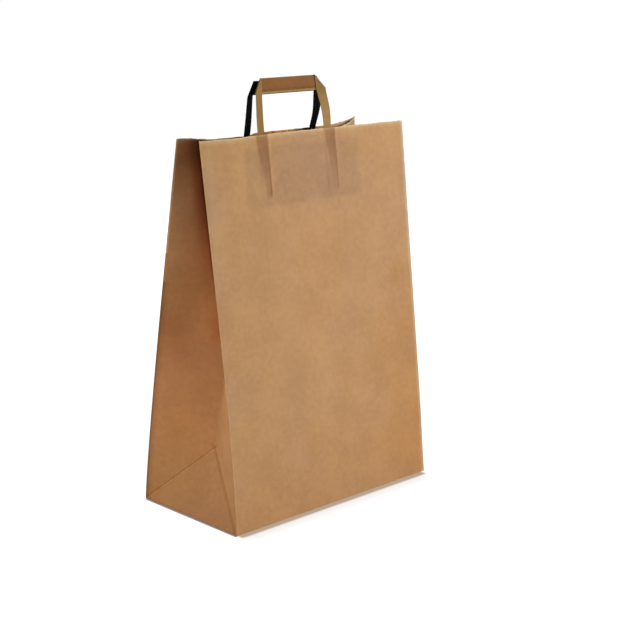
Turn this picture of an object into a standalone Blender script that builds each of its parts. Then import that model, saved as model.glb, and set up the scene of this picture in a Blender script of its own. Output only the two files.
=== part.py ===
"""A brown paper carrier bag, open and standing, with two flat folded paper handles.

Frame: metres, +Z up. The origin is the middle of the base, on the surface that the
bag stands on. X runs across the bag, and its front panel faces -Y.
"""
import math

import bpy
import bmesh
from mathutils import Vector

# The bag's sheet
WIDTH = 0.320                # across the front and rear panels
DEPTH = 0.170                # across a gusset, and front to back at the base
HEIGHT = 0.450               # along the paper, from a panel's base fold to its rim
PAPER = 0.0003               # thickness of the bag's paper
GAP = 0.0003                 # clearance between two papers that are glued

# How the open bag stands
FRONT_RIM_Y = -0.036         # the front panel leans back to here
REAR_RIM_Y = 0.0125          # the middle of the rear panel leans forward to here
REAR_SHIFT = 0.0104          # the rear rim has slid this far towards +X
REAR_LEFT_OPEN = 0.009       # the rear rim's left corner stands this much further back
REAR_RIGHT_OPEN = 0.024      # its right corner stands this much further back
REAR_CURL = 0.012            # and the tip of that corner curls back this much more
LEFT_OPEN_SPAN = 0.100       # the rim bends over this length at the left corner
RIGHT_OPEN_SPAN = 0.122      # and over this length at the right corner
CURL_SHARPNESS = 7.0         # a higher power keeps the curl nearer to the rim
GUSSET_SAG = 0.006           # the right gusset's rear half follows that curl at the rim
FRONT_BOW = 0.0045           # the front panel's left edge bulges forward this far
FRONT_BOW_FADE = 1.0         # share of that bulge lost at the right edge
REAR_BOW = 0.0037            # the rear panel bulges back this far
BOW_SKEW = 0.6               # under 1 puts the bulges in the panels' lower half

# The block bottom: the rear flap lies under the front flap, which lies under the ends
FLAP_OVERLAP = 0.040         # the two long flaps overlap this much in the middle
FLAP_BORDER = 0.003          # the fold round the base stands proud this far in
FLOOR_CLEARANCE = 0.0015     # the glued flaps stop this short of the folds

# The handles: one flat strip each, folded over at 45 degrees at both corners
STRIP_WIDTH = 0.017
STRIP_THICKNESS = 0.0008
LEG_SPACING = 0.105          # between the middles of a handle's legs
LEG_GLUED = 0.068            # length of leg below the rim
FRONT_HANDLE_RISE = 0.064    # from the rim to the top of the grip, along the panel
REAR_HANDLE_RISE = 0.0625    # the rear handle is glued in a little lower
FRONT_HANDLE_X = -0.0173     # middle of the front handle
REAR_HANDLE_X = -0.0038      # middle of the rear handle

# How far each edge of a handle stands off its panel's plane, at the rim and at the top,
# from the left leg's outer edge to the right leg's outer edge
FRONT_HANDLE_LIFT = ((0.0, -0.005), (0.0055, 0.004), (0.0, 0.009), (0.0055, 0.010))
REAR_HANDLE_LIFT = ((0.0085, 0.009), (0.0, -0.004), (0.0075, 0.006), (0.001, 0.003))

# The patches that hold the legs to the panels
PATCH_WIDTH = 0.180
PATCH_HEIGHT = 0.068
PATCH_SHIFT = 0.0068         # the patch is glued this far right of its handle's middle
PATCH_DROP = 0.0135          # from the rim down to the patch
PATCH_RAMP = 0.0025          # the patch comes down to the panel over this width
PATCH_EASE = 0.0006          # clearance from a leg's edge to where the patch bends

# How finely the paper is faceted
PANEL_COLUMNS = 20
GUSSET_COLUMNS = 4
BASE_ROWS = 4
WALL_ROWS = 14
GLUED_STEPS = 4
BEND_STEPS = 4
LEG_STEPS = 6
GRIP_STEPS = 8
PATCH_COLUMNS = 18
PATCH_ROWS = 4

MERGE = 0.00001
SLOPE_STEP = 0.01


def clear_objects():
    for old in list(bpy.data.objects):
        bpy.data.objects.remove(old, do_unlink=True)


def make_collection(name):
    collection = bpy.data.collections.new(name)
    bpy.context.scene.collection.children.link(collection)
    return collection


def make_material(name, colour, roughness):
    """A plain paper finish: paper is never metallic."""
    material = bpy.data.materials.new(name)
    material.use_nodes = True
    shader = material.node_tree.nodes["Principled BSDF"]
    shader.inputs["Base Color"].default_value = (*colour, 1.0)
    shader.inputs["Roughness"].default_value = roughness
    shader.inputs["Metallic"].default_value = 0.0
    return material


def make_object(name, bm, collection, material=None):
    bmesh.ops.recalc_face_normals(bm, faces=bm.faces)
    mesh = bpy.data.meshes.new(name)
    bm.to_mesh(mesh)
    bm.free()
    made = bpy.data.objects.new(name, mesh)
    collection.objects.link(made)
    if material:
        mesh.materials.append(material)
    return made


def thicken(sheet, thickness, offset):
    """Gives an open sheet its thickness: offset -1 puts it all inside, 0 half on each side."""
    solid = sheet.modifiers.new("paper thickness", "SOLIDIFY")
    solid.thickness = thickness
    solid.offset = offset
    solid.use_even_offset = True
    solid.use_quality_normals = True


def ease(share):
    """Runs smoothly from 0 to 1."""
    share = min(max(share, 0.0), 1.0)
    return share * share * (3 - 2 * share)


def spaced(first, last, steps):
    return [first + (last - first) * k / steps for k in range(steps + 1)]


def add_sheet(bm, point, columns, rows):
    """Adds quads through point(column, row). Points that coincide are merged later."""
    grid = [[bm.verts.new(point(c, r)) for c in range(columns + 1)] for r in range(rows + 1)]
    for lower, upper in zip(grid, grid[1:]):
        for c in range(columns):
            bm.faces.new((lower[c], lower[c + 1], upper[c + 1], upper[c]))


def bulge(share):
    return math.sin(math.pi * share ** BOW_SKEW)


def front_point(across, share):
    """A point of the front panel: across runs 0 to 1 from left to right, share up to the rim."""
    lean = FRONT_RIM_Y + DEPTH / 2
    rim_z = math.sqrt(HEIGHT ** 2 - lean ** 2)
    bow = FRONT_BOW * (1 - FRONT_BOW_FADE * across) * bulge(share)
    return Vector((WIDTH * (across - 0.5), lean * share - DEPTH / 2 - bow, rim_z * share))


def rear_point(across, share):
    """A point of the rear panel, whose rim has slid sideways and bends back at its corners."""
    left = max(0.0, 1 - across * WIDTH / LEFT_OPEN_SPAN)
    right = max(0.0, 1 - (1 - across) * WIDTH / RIGHT_OPEN_SPAN)
    opening = REAR_LEFT_OPEN * left ** 2 + REAR_RIGHT_OPEN * right ** 2
    curl = REAR_CURL * right ** 2
    # A panel that bends back as a parabola loses this much of its width
    taken_up = 2 * (REAR_RIGHT_OPEN + REAR_CURL) ** 2 / (3 * RIGHT_OPEN_SPAN) * right ** 3
    slide = REAR_SHIFT - taken_up
    lean = REAR_RIM_Y + opening - DEPTH / 2
    rim_z = math.sqrt(HEIGHT ** 2 - lean ** 2 - slide ** 2)
    x = WIDTH * (across - 0.5) + slide * share
    y = DEPTH / 2 + lean * share + curl * share ** CURL_SHARPNESS + REAR_BOW * bulge(share)
    return Vector((x, y, rim_z * share))


def foot_point(side):
    """The middle of a gusset's base fold: side 0 is the left gusset and 1 the right one."""
    return Vector((WIDTH * (side - 0.5), 0.0, 0.0))


def fold_point(side, share):
    """A point of a gusset's middle fold: both halves of the gusset keep their width."""
    front = front_point(side, share)
    rear = rear_point(side, share)
    half_gap = (rear - front) / 2
    depth = math.sqrt(max((DEPTH / 2) ** 2 - half_gap.length_squared, 0.0))
    inward = Vector((half_gap.y, -half_gap.x, 0.0)).normalized() * (1 - 2 * side)
    return front + half_gap + inward * depth


def tip_share():
    """The share of the height where the middle fold ends at the tip of the base triangle."""
    low, high = 0.0, 1.0
    while high - low > MERGE:
        middle = (low + high) / 2
        if (fold_point(0, middle) - foot_point(0)).length < DEPTH / 2:
            low = middle
        else:
            high = middle
    return high


def tip_point(side, tip):
    """The tip of a gusset's base triangle, which is as far from the base as half a gusset."""
    foot = foot_point(side)
    return foot + (fold_point(side, tip) - foot).normalized() * (DEPTH / 2)


def crease_point(wall, side, share, tip):
    """A point of the slanting crease from a base corner up to the tip of the triangle."""
    return wall(side, 0.0).lerp(tip_point(side, tip), min(share / tip, 1.0))


def inner_point(wall, side, share, tip):
    """The inner border of half a gusset: the slanting crease, and the middle fold above it."""
    if share <= tip + MERGE:
        return crease_point(wall, side, share, tip)
    return fold_point(side, share)


def wall_shares(tip):
    return spaced(0.0, tip, BASE_ROWS)[:-1] + spaced(tip, 1.0, WALL_ROWS)


def add_panel(bm, wall, shares):
    def point(c, r):
        return wall(c / PANEL_COLUMNS, shares[r])
    add_sheet(bm, point, PANEL_COLUMNS, len(shares) - 1)


def gusset_sag(wall, side, share, along):
    """The curl of the rear right corner bends the gusset behind it as well."""
    if wall is front_point or side == 0:
        return Vector()
    return Vector((0.0, -4 * GUSSET_SAG * share * along * (1 - along), 0.0))


def add_gusset_half(bm, wall, side, shares, tip):
    def point(c, r):
        along = c / GUSSET_COLUMNS
        edge = wall(side, shares[r])
        flat = edge.lerp(inner_point(wall, side, shares[r], tip), along)
        return flat + gusset_sag(wall, side, shares[r], along)
    add_sheet(bm, point, GUSSET_COLUMNS, len(shares) - 1)


def add_base_triangle(bm, side, shares, tip):
    def point(c, r):
        front = crease_point(front_point, side, shares[r], tip)
        rear = crease_point(rear_point, side, shares[r], tip)
        return front.lerp(rear, c / GUSSET_COLUMNS)
    add_sheet(bm, point, GUSSET_COLUMNS, BASE_ROWS)


def base_edges(bm):
    return [e for e in bm.edges if e.is_boundary and max(v.co.z for v in e.verts) < MERGE]


def prism(name, outline, low, high, collection):
    """A flat outline, given as (x, y) corners, made solid between two heights."""
    bm = bmesh.new()
    face = bm.faces.new([bm.verts.new((x, y, low)) for x, y in outline])
    raised = bmesh.ops.extrude_face_region(bm, geom=[face])["geom"]
    corners = [v for v in raised if isinstance(v, bmesh.types.BMVert)]
    bmesh.ops.translate(bm, verts=corners, vec=(0, 0, high - low))
    tool = make_object(name, bm, collection)
    tool.hide_render = True
    tool.display_type = "WIRE"
    return tool


def use_tool(body, tool, operation):
    boolean = body.modifiers.new(tool.name, "BOOLEAN")
    boolean.operation = operation
    boolean.solver = "EXACT"
    boolean.object = tool


def floor_tool(tools):
    """The three layers of glued flaps that make the floor."""
    half_x = WIDTH / 2 - FLOOR_CLEARANCE
    half_y = DEPTH / 2 - FLOOR_CLEARANCE
    outline = ((-half_x, -half_y), (half_x, -half_y), (half_x, half_y), (-half_x, half_y))
    return prism("floor_layers", outline, PAPER / 2, 3 * PAPER, tools)


def front_flap_tool(tools):
    """The step from the rear flap up to the front flap, seen from below."""
    near = -DEPTH / 2 + FLAP_BORDER
    edge = -FLAP_OVERLAP / 2
    at_near = WIDTH / 2 - FLAP_BORDER
    at_edge = at_near - (edge - near)
    outline = ((-at_near, near), (at_near, near), (at_edge, edge), (-at_edge, edge))
    return prism("front_flap_step", outline, -PAPER, PAPER, tools)


def end_flap_tool(side, tools):
    """The step up to the folded end between the two long flaps, at one side."""
    out = 1 if side else -1
    end = WIDTH / 2 - FLAP_BORDER
    corner = DEPTH / 2 - FLAP_BORDER
    edge = FLAP_OVERLAP / 2
    front_cut = end - (corner - edge)
    rear_cut = end - (corner + edge)
    outline = ((out * end, corner), (out * rear_cut, -edge), (out * front_cut, -edge),
               (out * end, -corner))
    return prism(f"end_flap_step_{side}", outline, -PAPER, 2 * PAPER, tools)


def make_bag(parts, tools, material):
    """The bag's one sheet: two panels, two gussets with V folds, and the block bottom."""
    tip = tip_share()
    shares = wall_shares(tip)
    bm = bmesh.new()
    for wall in (front_point, rear_point):
        add_panel(bm, wall, shares)
        for side in (0, 1):
            add_gusset_half(bm, wall, side, shares, tip)
    for side in (0, 1):
        add_base_triangle(bm, side, shares, tip)
    bmesh.ops.remove_doubles(bm, verts=bm.verts, dist=MERGE)
    bmesh.ops.edgeloop_fill(bm, edges=base_edges(bm))
    bag = make_object("bag_body", bm, parts, material)
    thicken(bag, PAPER, -1)
    use_tool(bag, floor_tool(tools), "UNION")
    use_tool(bag, front_flap_tool(tools), "DIFFERENCE")
    for side in (0, 1):
        use_tool(bag, end_flap_tool(side, tools), "DIFFERENCE")
    return bag


def against_wall(wall, x, up, depth):
    """A point at x across a panel, up above its rim and depth in from its outer face.

    Above the rim, the panel's plane goes on straight.
    """
    slide = REAR_SHIFT if wall is rear_point else 0.0
    across = (x - slide) / WIDTH + 0.5
    share = min(1 + up / HEIGHT, 1.0)
    along = wall(across + SLOPE_STEP, share) - wall(across - SLOPE_STEP, share)
    rise = wall(across, share) - wall(across, share - SLOPE_STEP)
    inward = along.cross(rise).normalized() * (1 if wall is rear_point else -1)
    return wall(across, share) + inward * depth + rise.normalized() * max(up, 0.0)


def lift_at(lift, rise, across, up):
    """How far the handle stands off its panel's plane, from the values at its four edges."""
    outer = (LEG_SPACING + STRIP_WIDTH) / 2
    inner = (LEG_SPACING - STRIP_WIDTH) / 2
    edges = (-outer, -inner, inner, outer)
    grown = ease(up / rise)
    values = [rim + (top - rim) * grown for rim, top in lift]
    held = ease(1 + up / PATCH_DROP)
    for left, right, low, high in zip(edges, edges[1:], values, values[1:]):
        if across <= right:
            return held * (low + (high - low) * (across - left) / (right - left))
    return held * values[-1]


def strip_stations(rise):
    """Pairs of (across, up, layer) at the strip's two edges, along the folded strip.

    Each leg runs up to the 45 degree fold in layer 0, and the grip lies behind in layer 1.
    """
    outer = (LEG_SPACING + STRIP_WIDTH) / 2
    inner = (LEG_SPACING - STRIP_WIDTH) / 2
    low = rise - STRIP_WIDTH
    heights = spaced(-LEG_GLUED, -PATCH_DROP, GLUED_STEPS)[:-1]
    heights += spaced(-PATCH_DROP, 0.0, BEND_STEPS)[:-1]
    heights += spaced(0.0, low, LEG_STEPS)
    left = [((-outer, up, 0), (-inner, up, 0)) for up in heights]
    left += [((-outer, low, layer), (-inner, rise, layer)) for layer in (0, 1)]
    grip = [((x, low, 1), (x, rise, 1)) for x in spaced(-inner, inner, GRIP_STEPS)]
    right = [tuple((-across, up, layer) for across, up, layer in pair) for pair in reversed(left)]
    return left + grip + right


def make_handle(name, wall, middle, rise, lift, parts, material):
    """A flat strip folded into a handle, its legs inside the panel."""
    near = PAPER + GAP + STRIP_THICKNESS / 2
    layer_step = STRIP_THICKNESS + GAP

    def place(spot):
        across, up, layer = spot
        depth = near + layer * layer_step + lift_at(lift, rise, across, up)
        return against_wall(wall, middle + across, up, depth)

    stations = strip_stations(rise)
    bm = bmesh.new()

    def point(c, r):
        edge, other = stations[r]
        return place(edge).lerp(place(other), c)

    add_sheet(bm, point, 1, len(stations) - 1)
    bmesh.ops.remove_doubles(bm, verts=bm.verts, dist=MERGE)
    handle = make_object(name, bm, parts, material)
    thicken(handle, STRIP_THICKNESS, 0)
    return handle


def patch_columns():
    """Pairs of (across, height off the panel) over one patch, raised over both legs.

    Across runs from the middle of the handle.
    """
    raised = STRIP_THICKNESS + GAP
    left_end = PATCH_SHIFT - PATCH_WIDTH / 2
    right_end = PATCH_SHIFT + PATCH_WIDTH / 2
    near = STRIP_WIDTH / 2 + PATCH_EASE
    ends = {}
    for leg in (-LEG_SPACING / 2, LEG_SPACING / 2):
        for out in (-1, 1):
            ends[leg + out * near] = raised
            ends[leg + out * (near + PATCH_RAMP)] = 0.0
    for across in spaced(left_end, right_end, PATCH_COLUMNS):
        from_leg = abs(abs(across) - LEG_SPACING / 2)
        if from_leg > near + 2 * PATCH_RAMP:
            ends[across] = 0.0
    return sorted(ends.items())


def make_patch(name, wall, middle, parts, material):
    """The paper patch that lies over a handle's legs, inside the panel."""
    columns = patch_columns()
    near = PAPER + GAP + PAPER / 2
    bm = bmesh.new()

    def point(c, r):
        across, height = columns[c]
        up = -PATCH_DROP - PATCH_HEIGHT * (1 - r / PATCH_ROWS)
        return against_wall(wall, middle + across, up, near + height)

    add_sheet(bm, point, len(columns) - 1, PATCH_ROWS)
    patch = make_object(name, bm, parts, material)
    thicken(patch, PAPER, 0)
    return patch


def main():
    clear_objects()
    parts = make_collection("paper_carrier_bag")
    tools = make_collection("folding_tools")
    kraft = make_material("kraft_paper", (0.47, 0.27, 0.14), 0.8)
    strip = make_material("handle_paper", (0.33, 0.18, 0.08), 0.75)
    black = make_material("black_paper", (0.012, 0.012, 0.013), 0.7)
    backing = make_material("patch_paper", (0.43, 0.26, 0.14), 0.85)
    make_bag(parts, tools, kraft)
    make_handle("front_handle", front_point, FRONT_HANDLE_X, FRONT_HANDLE_RISE,
                FRONT_HANDLE_LIFT, parts, strip)
    make_handle("rear_handle", rear_point, REAR_HANDLE_X, REAR_HANDLE_RISE,
                REAR_HANDLE_LIFT, parts, black)
    make_patch("front_handle_patch", front_point, FRONT_HANDLE_X, parts, backing)
    make_patch("rear_handle_patch", rear_point, REAR_HANDLE_X, parts, backing)


main()
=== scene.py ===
"""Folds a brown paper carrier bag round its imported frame, and stands it in a plain studio."""
import math

import bmesh
import bpy
import numpy as np
from bpy.props import FloatProperty, FloatVectorProperty, IntProperty, PointerProperty
from mathutils import Matrix, Vector


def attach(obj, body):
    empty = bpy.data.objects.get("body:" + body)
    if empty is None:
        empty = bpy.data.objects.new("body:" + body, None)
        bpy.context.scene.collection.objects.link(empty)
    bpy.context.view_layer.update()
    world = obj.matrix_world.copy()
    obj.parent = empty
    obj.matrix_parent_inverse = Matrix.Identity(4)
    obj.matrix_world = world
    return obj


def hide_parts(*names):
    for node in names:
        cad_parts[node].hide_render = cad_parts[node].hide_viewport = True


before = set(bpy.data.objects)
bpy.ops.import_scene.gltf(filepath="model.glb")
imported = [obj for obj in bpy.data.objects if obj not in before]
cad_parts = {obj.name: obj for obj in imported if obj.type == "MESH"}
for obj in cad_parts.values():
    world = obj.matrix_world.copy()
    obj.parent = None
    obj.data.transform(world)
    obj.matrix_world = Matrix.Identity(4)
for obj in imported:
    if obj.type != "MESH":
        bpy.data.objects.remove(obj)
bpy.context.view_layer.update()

bl_info = {
    "name": "Paper Carrier Bag",
    "version": (1, 0, 0),
    "blender": (4, 5, 0),
    "location": "3D View > Sidebar > Carrier Bag",
    "description": "Folds the paper, the handles and the patches of a carrier bag",
    "category": "Object",
}

BODY = "root"
UV_NAME = "paper"
MERGE = 0.00002              # points closer than this become one
FOLD_RUN = 0.0007            # a fold's curve reaches this far to each side
WEAR_RUN = 0.00112           # and its wear this far
GLUE = 0.0003                # between two papers that are glued together
LEFT, RIGHT = 0, 1


# Sizes a user would change


class BagSizes(bpy.types.PropertyGroup):
    """Sizes of the bag's sheet, and how the open bag stands."""
    width: FloatProperty(name="Width", description="Across the front and rear panels",
                         default=0.320, unit="LENGTH")
    depth: FloatProperty(name="Depth", description="Across a gusset, front to back",
                         default=0.170, unit="LENGTH")
    height: FloatProperty(name="Height", description="Along the paper, from base fold to rim",
                          default=0.450, unit="LENGTH")
    paper: FloatProperty(name="Paper", description="Thickness of the paper",
                         default=0.0003, unit="LENGTH")
    front_rim_y: FloatProperty(name="Front Rim", description="The front panel leans back to here",
                               default=-0.036, unit="LENGTH")
    rear_rim_y: FloatProperty(name="Rear Rim", description="The rear panel leans forward to here",
                              default=0.0125, unit="LENGTH")
    rear_shift: FloatProperty(name="Rear Slide", description="How far the rear rim slid sideways",
                              default=0.0104, unit="LENGTH")
    left_open: FloatProperty(name="Left Corner", description="The rear left corner stands back",
                             default=0.009, unit="LENGTH")
    right_open: FloatProperty(name="Right Corner", description="The rear right corner stands back",
                              default=0.024, unit="LENGTH")
    curl: FloatProperty(name="Corner Curl", description="The rear right tip curls back further",
                        default=0.012, unit="LENGTH")
    front_bow: FloatProperty(name="Front Belly", description="How far the front panel bulges",
                             default=0.0045, unit="LENGTH")
    rear_bow: FloatProperty(name="Rear Belly", description="How far the rear panel bulges",
                            default=0.0037, unit="LENGTH")
    buckle: FloatProperty(name="Buckle", description="How far the paper waves in and out",
                          default=0.0011, unit="LENGTH")
    buckle_size: FloatProperty(name="Buckle Size", description="Length of one wave in the paper",
                               default=0.085, unit="LENGTH")
    seed: IntProperty(name="Seed", description="Picks another set of waves", default=4)


class HandleSizes(bpy.types.PropertyGroup):
    """Sizes of the folded strips, and where they are glued."""
    strip_width: FloatProperty(name="Strip Width", description="Width of the folded strip",
                               default=0.017, unit="LENGTH")
    strip_thickness: FloatProperty(name="Strip Thickness", description="All plies together",
                                   default=0.0008, unit="LENGTH")
    leg_spacing: FloatProperty(name="Leg Spacing", description="Between the legs' middles",
                               default=0.105, unit="LENGTH")
    leg_glued: FloatProperty(name="Leg Glued", description="Length of leg below the rim",
                             default=0.068, unit="LENGTH")
    front_x: FloatProperty(name="Front Middle", description="Middle of the front handle",
                           default=-0.0173, unit="LENGTH")
    rear_x: FloatProperty(name="Rear Middle", description="Middle of the rear handle",
                          default=-0.0038, unit="LENGTH")
    front_rise: FloatProperty(name="Front Rise", description="From the rim up to the grip's top",
                              default=0.0632, unit="LENGTH")
    rear_rise: FloatProperty(name="Rear Rise", description="From the rim up to the grip's top",
                             default=0.0635, unit="LENGTH")
    patch_width: FloatProperty(name="Patch Width", description="Across the glued patch",
                               default=0.180, unit="LENGTH")
    patch_height: FloatProperty(name="Patch Height", description="Height of the glued patch",
                                default=0.068, unit="LENGTH")
    patch_drop: FloatProperty(name="Patch Drop", description="From the rim down to the patch",
                              default=0.0135, unit="LENGTH")
    patch_shift: FloatProperty(name="Patch Shift", description="Patch off its handle's middle",
                               default=0.0068, unit="LENGTH")


class PaperColours(bpy.types.PropertyGroup):
    """Colours of the papers."""
    kraft: FloatVectorProperty(name="Kraft", description="The bag's brown paper",
                               subtype="COLOR", default=(0.545, 0.296, 0.127))
    strip: FloatVectorProperty(name="Strip", description="The brown handle",
                               subtype="COLOR", default=(0.262, 0.146, 0.038))
    black: FloatVectorProperty(name="Black", description="The black handle",
                               subtype="COLOR", default=(0.0018, 0.0022, 0.0030))
    patch: FloatVectorProperty(name="Patch", description="The patches inside",
                               subtype="COLOR", default=(0.45, 0.26, 0.13))


class StudioSettings(bpy.types.PropertyGroup):
    """Light of the studio."""
    key: FloatProperty(name="Key Light", description="Large soft light on the right",
                       default=95.0, unit="POWER")
    front: FloatProperty(name="Front Light", description="Soft light in front of the bag",
                         default=10.0, unit="POWER")
    low: FloatProperty(name="Low Light", description="Small warm light near the floor, left",
                       default=0.24, unit="POWER")
    middle: FloatProperty(name="Middle Light", description="Small warm light on the left",
                          default=0.065, unit="POWER")
    left_back: FloatProperty(name="Left Back Light", description="Soft light behind, left",
                             default=5.5, unit="POWER")
    right_back: FloatProperty(name="Right Back Light", description="Soft light behind, right",
                              default=25.0, unit="POWER")
    sky: FloatProperty(name="Room Light", description="Strength of the even light of the room",
                       default=0.08)


# Node trees, built step by step


class Wiring:
    """Adds nodes to a node tree and links them, so that a tree reads as a list of steps."""

    def __init__(self, tree):
        self.tree = tree

    def feed(self, socket, value):
        if isinstance(value, bpy.types.NodeSocket):
            self.tree.links.new(value, socket)
        else:
            socket.default_value = value

    def node(self, kind, inputs=(), **settings):
        made = self.tree.nodes.new(kind)
        for name, value in settings.items():
            setattr(made, name, value)
        for name, value in dict(inputs).items():
            self.feed(made.inputs[name], value)
        return made

    def math(self, operation, a, b=0.0, clamp=False):
        made = self.node("ShaderNodeMath", {0: a, 1: b}, operation=operation, use_clamp=clamp)
        return made.outputs[0]

    def plus(self, a, b):
        return self.math("ADD", a, b)

    def minus(self, a, b):
        return self.math("SUBTRACT", a, b)

    def times(self, a, b):
        return self.math("MULTIPLY", a, b)

    def scaled(self, vector, factor):
        made = self.node("ShaderNodeVectorMath", {0: vector, "Scale": factor}, operation="SCALE")
        return made.outputs["Vector"]

    def field(self, name):
        """A value that the mesh holds at each of its points."""
        return self.node("ShaderNodeAttribute", attribute_name=name).outputs["Fac"]

    def vector(self, operation, a, b=(0.0, 0.0, 0.0)):
        made = self.node("ShaderNodeVectorMath", {0: a, 1: b}, operation=operation)
        return made.outputs["Value" if operation in ("DOT_PRODUCT", "LENGTH") else "Vector"]

    def ramp(self, value, low, high, to_low=0.0, to_high=1.0):
        """Runs smoothly from to_low to to_high as value goes from low to high."""
        made = self.node("ShaderNodeMapRange", {"Value": value, "From Min": low, "From Max": high,
                                                "To Min": to_low, "To Max": to_high},
                         interpolation_type="SMOOTHSTEP")
        return made.outputs["Result"]

    def noise(self, vector, scale, detail=2.0, rough=0.5, distortion=0.0):
        made = self.node("ShaderNodeTexNoise", {"Vector": vector, "Scale": scale, "Detail": detail,
                                                "Roughness": rough, "Distortion": distortion})
        return made.outputs[0]

    def blend(self, factor, a, b, mode="MIX"):
        made = self.node("ShaderNodeMix", data_type="RGBA", blend_type=mode, clamp_factor=True)
        self.feed(made.inputs[0], factor)
        self.feed(made.inputs[6], a)
        self.feed(made.inputs[7], b)
        return made.outputs[2]

    def split(self, vector):
        made = self.node("ShaderNodeSeparateXYZ", {0: vector})
        return made.outputs[0], made.outputs[1]

    def join(self, x, y, z=0.0):
        return self.node("ShaderNodeCombineXYZ", {0: x, 1: y, 2: z}).outputs[0]


def start_group(name, kind, inputs, outputs):
    """A node group with named inputs, given as (name, type, default), and named outputs."""
    group = bpy.data.node_groups.new(name, kind)
    for label, socket_type, default in inputs:
        socket = group.interface.new_socket(label, in_out="INPUT", socket_type=socket_type)
        if default is not None:
            socket.default_value = default
    for label, socket_type in outputs:
        group.interface.new_socket(label, in_out="OUTPUT", socket_type=socket_type)
    wiring = Wiring(group)
    given = wiring.node("NodeGroupInput")
    result = wiring.node("NodeGroupOutput")
    return group, wiring, given.outputs, result.inputs


# Shader node groups


# How fine each feature of the paper's grain is, in features to a metre
WIDE_CLOUDS, FINE_CLOUDS = 22.0, 150.0
UPRIGHT_FIBRES, SLANTING_FIBRES = 95.0, 260.0
SPECKS, RARE_SPECKS, RIBS = 330.0, 410.0, 300.0


def make_grain_group():
    """Kraft paper's look close up: cloudy formation, long fibres and small dark shives."""
    group, w, given, result = start_group(
        "paper_grain", "ShaderNodeTree",
        (("Vector", "NodeSocketVector", None), ("Seed", "NodeSocketFloat", 0.0)),
        (("Cloud", "NodeSocketFloat"), ("Fibre", "NodeSocketFloat"),
         ("Shive", "NodeSocketFloat"), ("Height", "NodeSocketFloat")))
    place = w.vector("ADD", given["Vector"], w.join(given["Seed"], given["Seed"]))
    across, along = w.split(place)

    def stretched(by_across, by_along):
        """The place on the paper, with a pattern drawn narrower across or longer along."""
        return w.join(w.times(across, by_across), w.times(along, by_along))

    def mixed(first, share, second):
        return w.plus(w.times(first, share), w.times(second, 1.0 - share))

    cloud = mixed(w.noise(place, WIDE_CLOUDS, detail=3.0, rough=0.55), 0.55,
                  w.noise(place, FINE_CLOUDS, detail=3.0, rough=0.6))
    upright = w.noise(stretched(9.0, 1.0), UPRIGHT_FIBRES, detail=4.0, rough=0.65)
    slanting = w.noise(stretched(3.0, 3.0), SLANTING_FIBRES, detail=3.0, rough=0.6, distortion=1.4)
    fibre = mixed(upright, 0.6, slanting)
    specks = w.node("ShaderNodeTexVoronoi", {"Vector": stretched(1.0, 0.45), "Scale": SPECKS,
                                             "Randomness": 1.0}, feature="F1")
    shive = w.times(w.ramp(specks.outputs["Distance"], 0.16, 0.05),
                    w.ramp(w.noise(place, RARE_SPECKS, detail=0.0), 0.56, 0.66))
    height = mixed(fibre, 0.7, w.noise(stretched(6.0, 0.12), RIBS, detail=1.0))
    for name, value in (("Cloud", cloud), ("Fibre", fibre), ("Shive", shive), ("Height", height)):
        w.feed(result[name], value)
    return group


def make_soft_box_group():
    """A rectangle on the paper, with soft borders."""
    group, w, given, result = start_group(
        "soft_box", "ShaderNodeTree",
        (("Vector", "NodeSocketVector", None), ("Centre", "NodeSocketVector", None),
         ("Half Size", "NodeSocketVector", None), ("Soft", "NodeSocketFloat", 0.003)),
        (("Mask", "NodeSocketFloat"),))
    off = w.vector("ABSOLUTE", w.vector("SUBTRACT", given["Vector"], given["Centre"]))
    past_across, past_along = w.split(w.vector("SUBTRACT", off, given["Half Size"]))
    soft = given["Soft"]
    inner = w.times(soft, -1.0)
    w.feed(result["Mask"], w.times(w.ramp(past_across, soft, inner),
                                   w.ramp(past_along, soft, inner)))
    return group


def make_leg_shade_group():
    """Painted shade where a handle's leg shows through the paper and raises it: narrower towards
    its lower end.
    """
    group, w, given, result = start_group(
        "leg_shows_through", "ShaderNodeTree",
        (("Vector", "NodeSocketVector", None), ("Top Right", "NodeSocketVector", None),
         ("Width", "NodeSocketFloat", 0.017), ("Length", "NodeSocketFloat", 0.070),
         ("Narrowing", "NodeSocketFloat", 0.5), ("Low End", "NodeSocketFloat", 0.5),
         ("Soft", "NodeSocketFloat", 0.002)),
        (("Mask", "NodeSocketFloat"), ("Edge", "NodeSocketFloat")))
    edge_inset, edge_reach, edge_core = 0.0012, 0.0013, 0.0003
    end_soft = 0.004
    off_across, off_along = w.split(w.vector("SUBTRACT", given["Top Right"], given["Vector"]))
    share = w.math("DIVIDE", off_along, given["Length"], clamp=True)
    width = w.times(given["Width"], w.minus(1.0, w.times(share, given["Narrowing"])))
    soft = given["Soft"]
    inner = w.times(soft, -1.0)
    right_side = w.ramp(off_across, inner, soft)
    left_side = w.ramp(w.minus(off_across, width), soft, inner)
    above_end = w.ramp(w.minus(off_along, given["Length"]), end_soft, -end_soft)
    inside = w.times(w.times(right_side, left_side), above_end)
    fading = w.ramp(w.math("DIVIDE", off_across, width), 1.0, 0.2, to_low=0.75)
    paler = w.ramp(share, 0.1, 0.9, to_low=1.0, to_high=given["Low End"])
    w.feed(result["Mask"], w.times(inside, w.times(fading, paler)))
    # A painted shadow line along the leg's right edge
    from_line = w.math("ABSOLUTE", w.minus(off_across, edge_inset))
    line = w.times(w.ramp(from_line, edge_reach, edge_core), above_end)
    w.feed(result["Edge"], w.times(line, w.ramp(off_along, 0.012, 0.045)))
    return group


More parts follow.
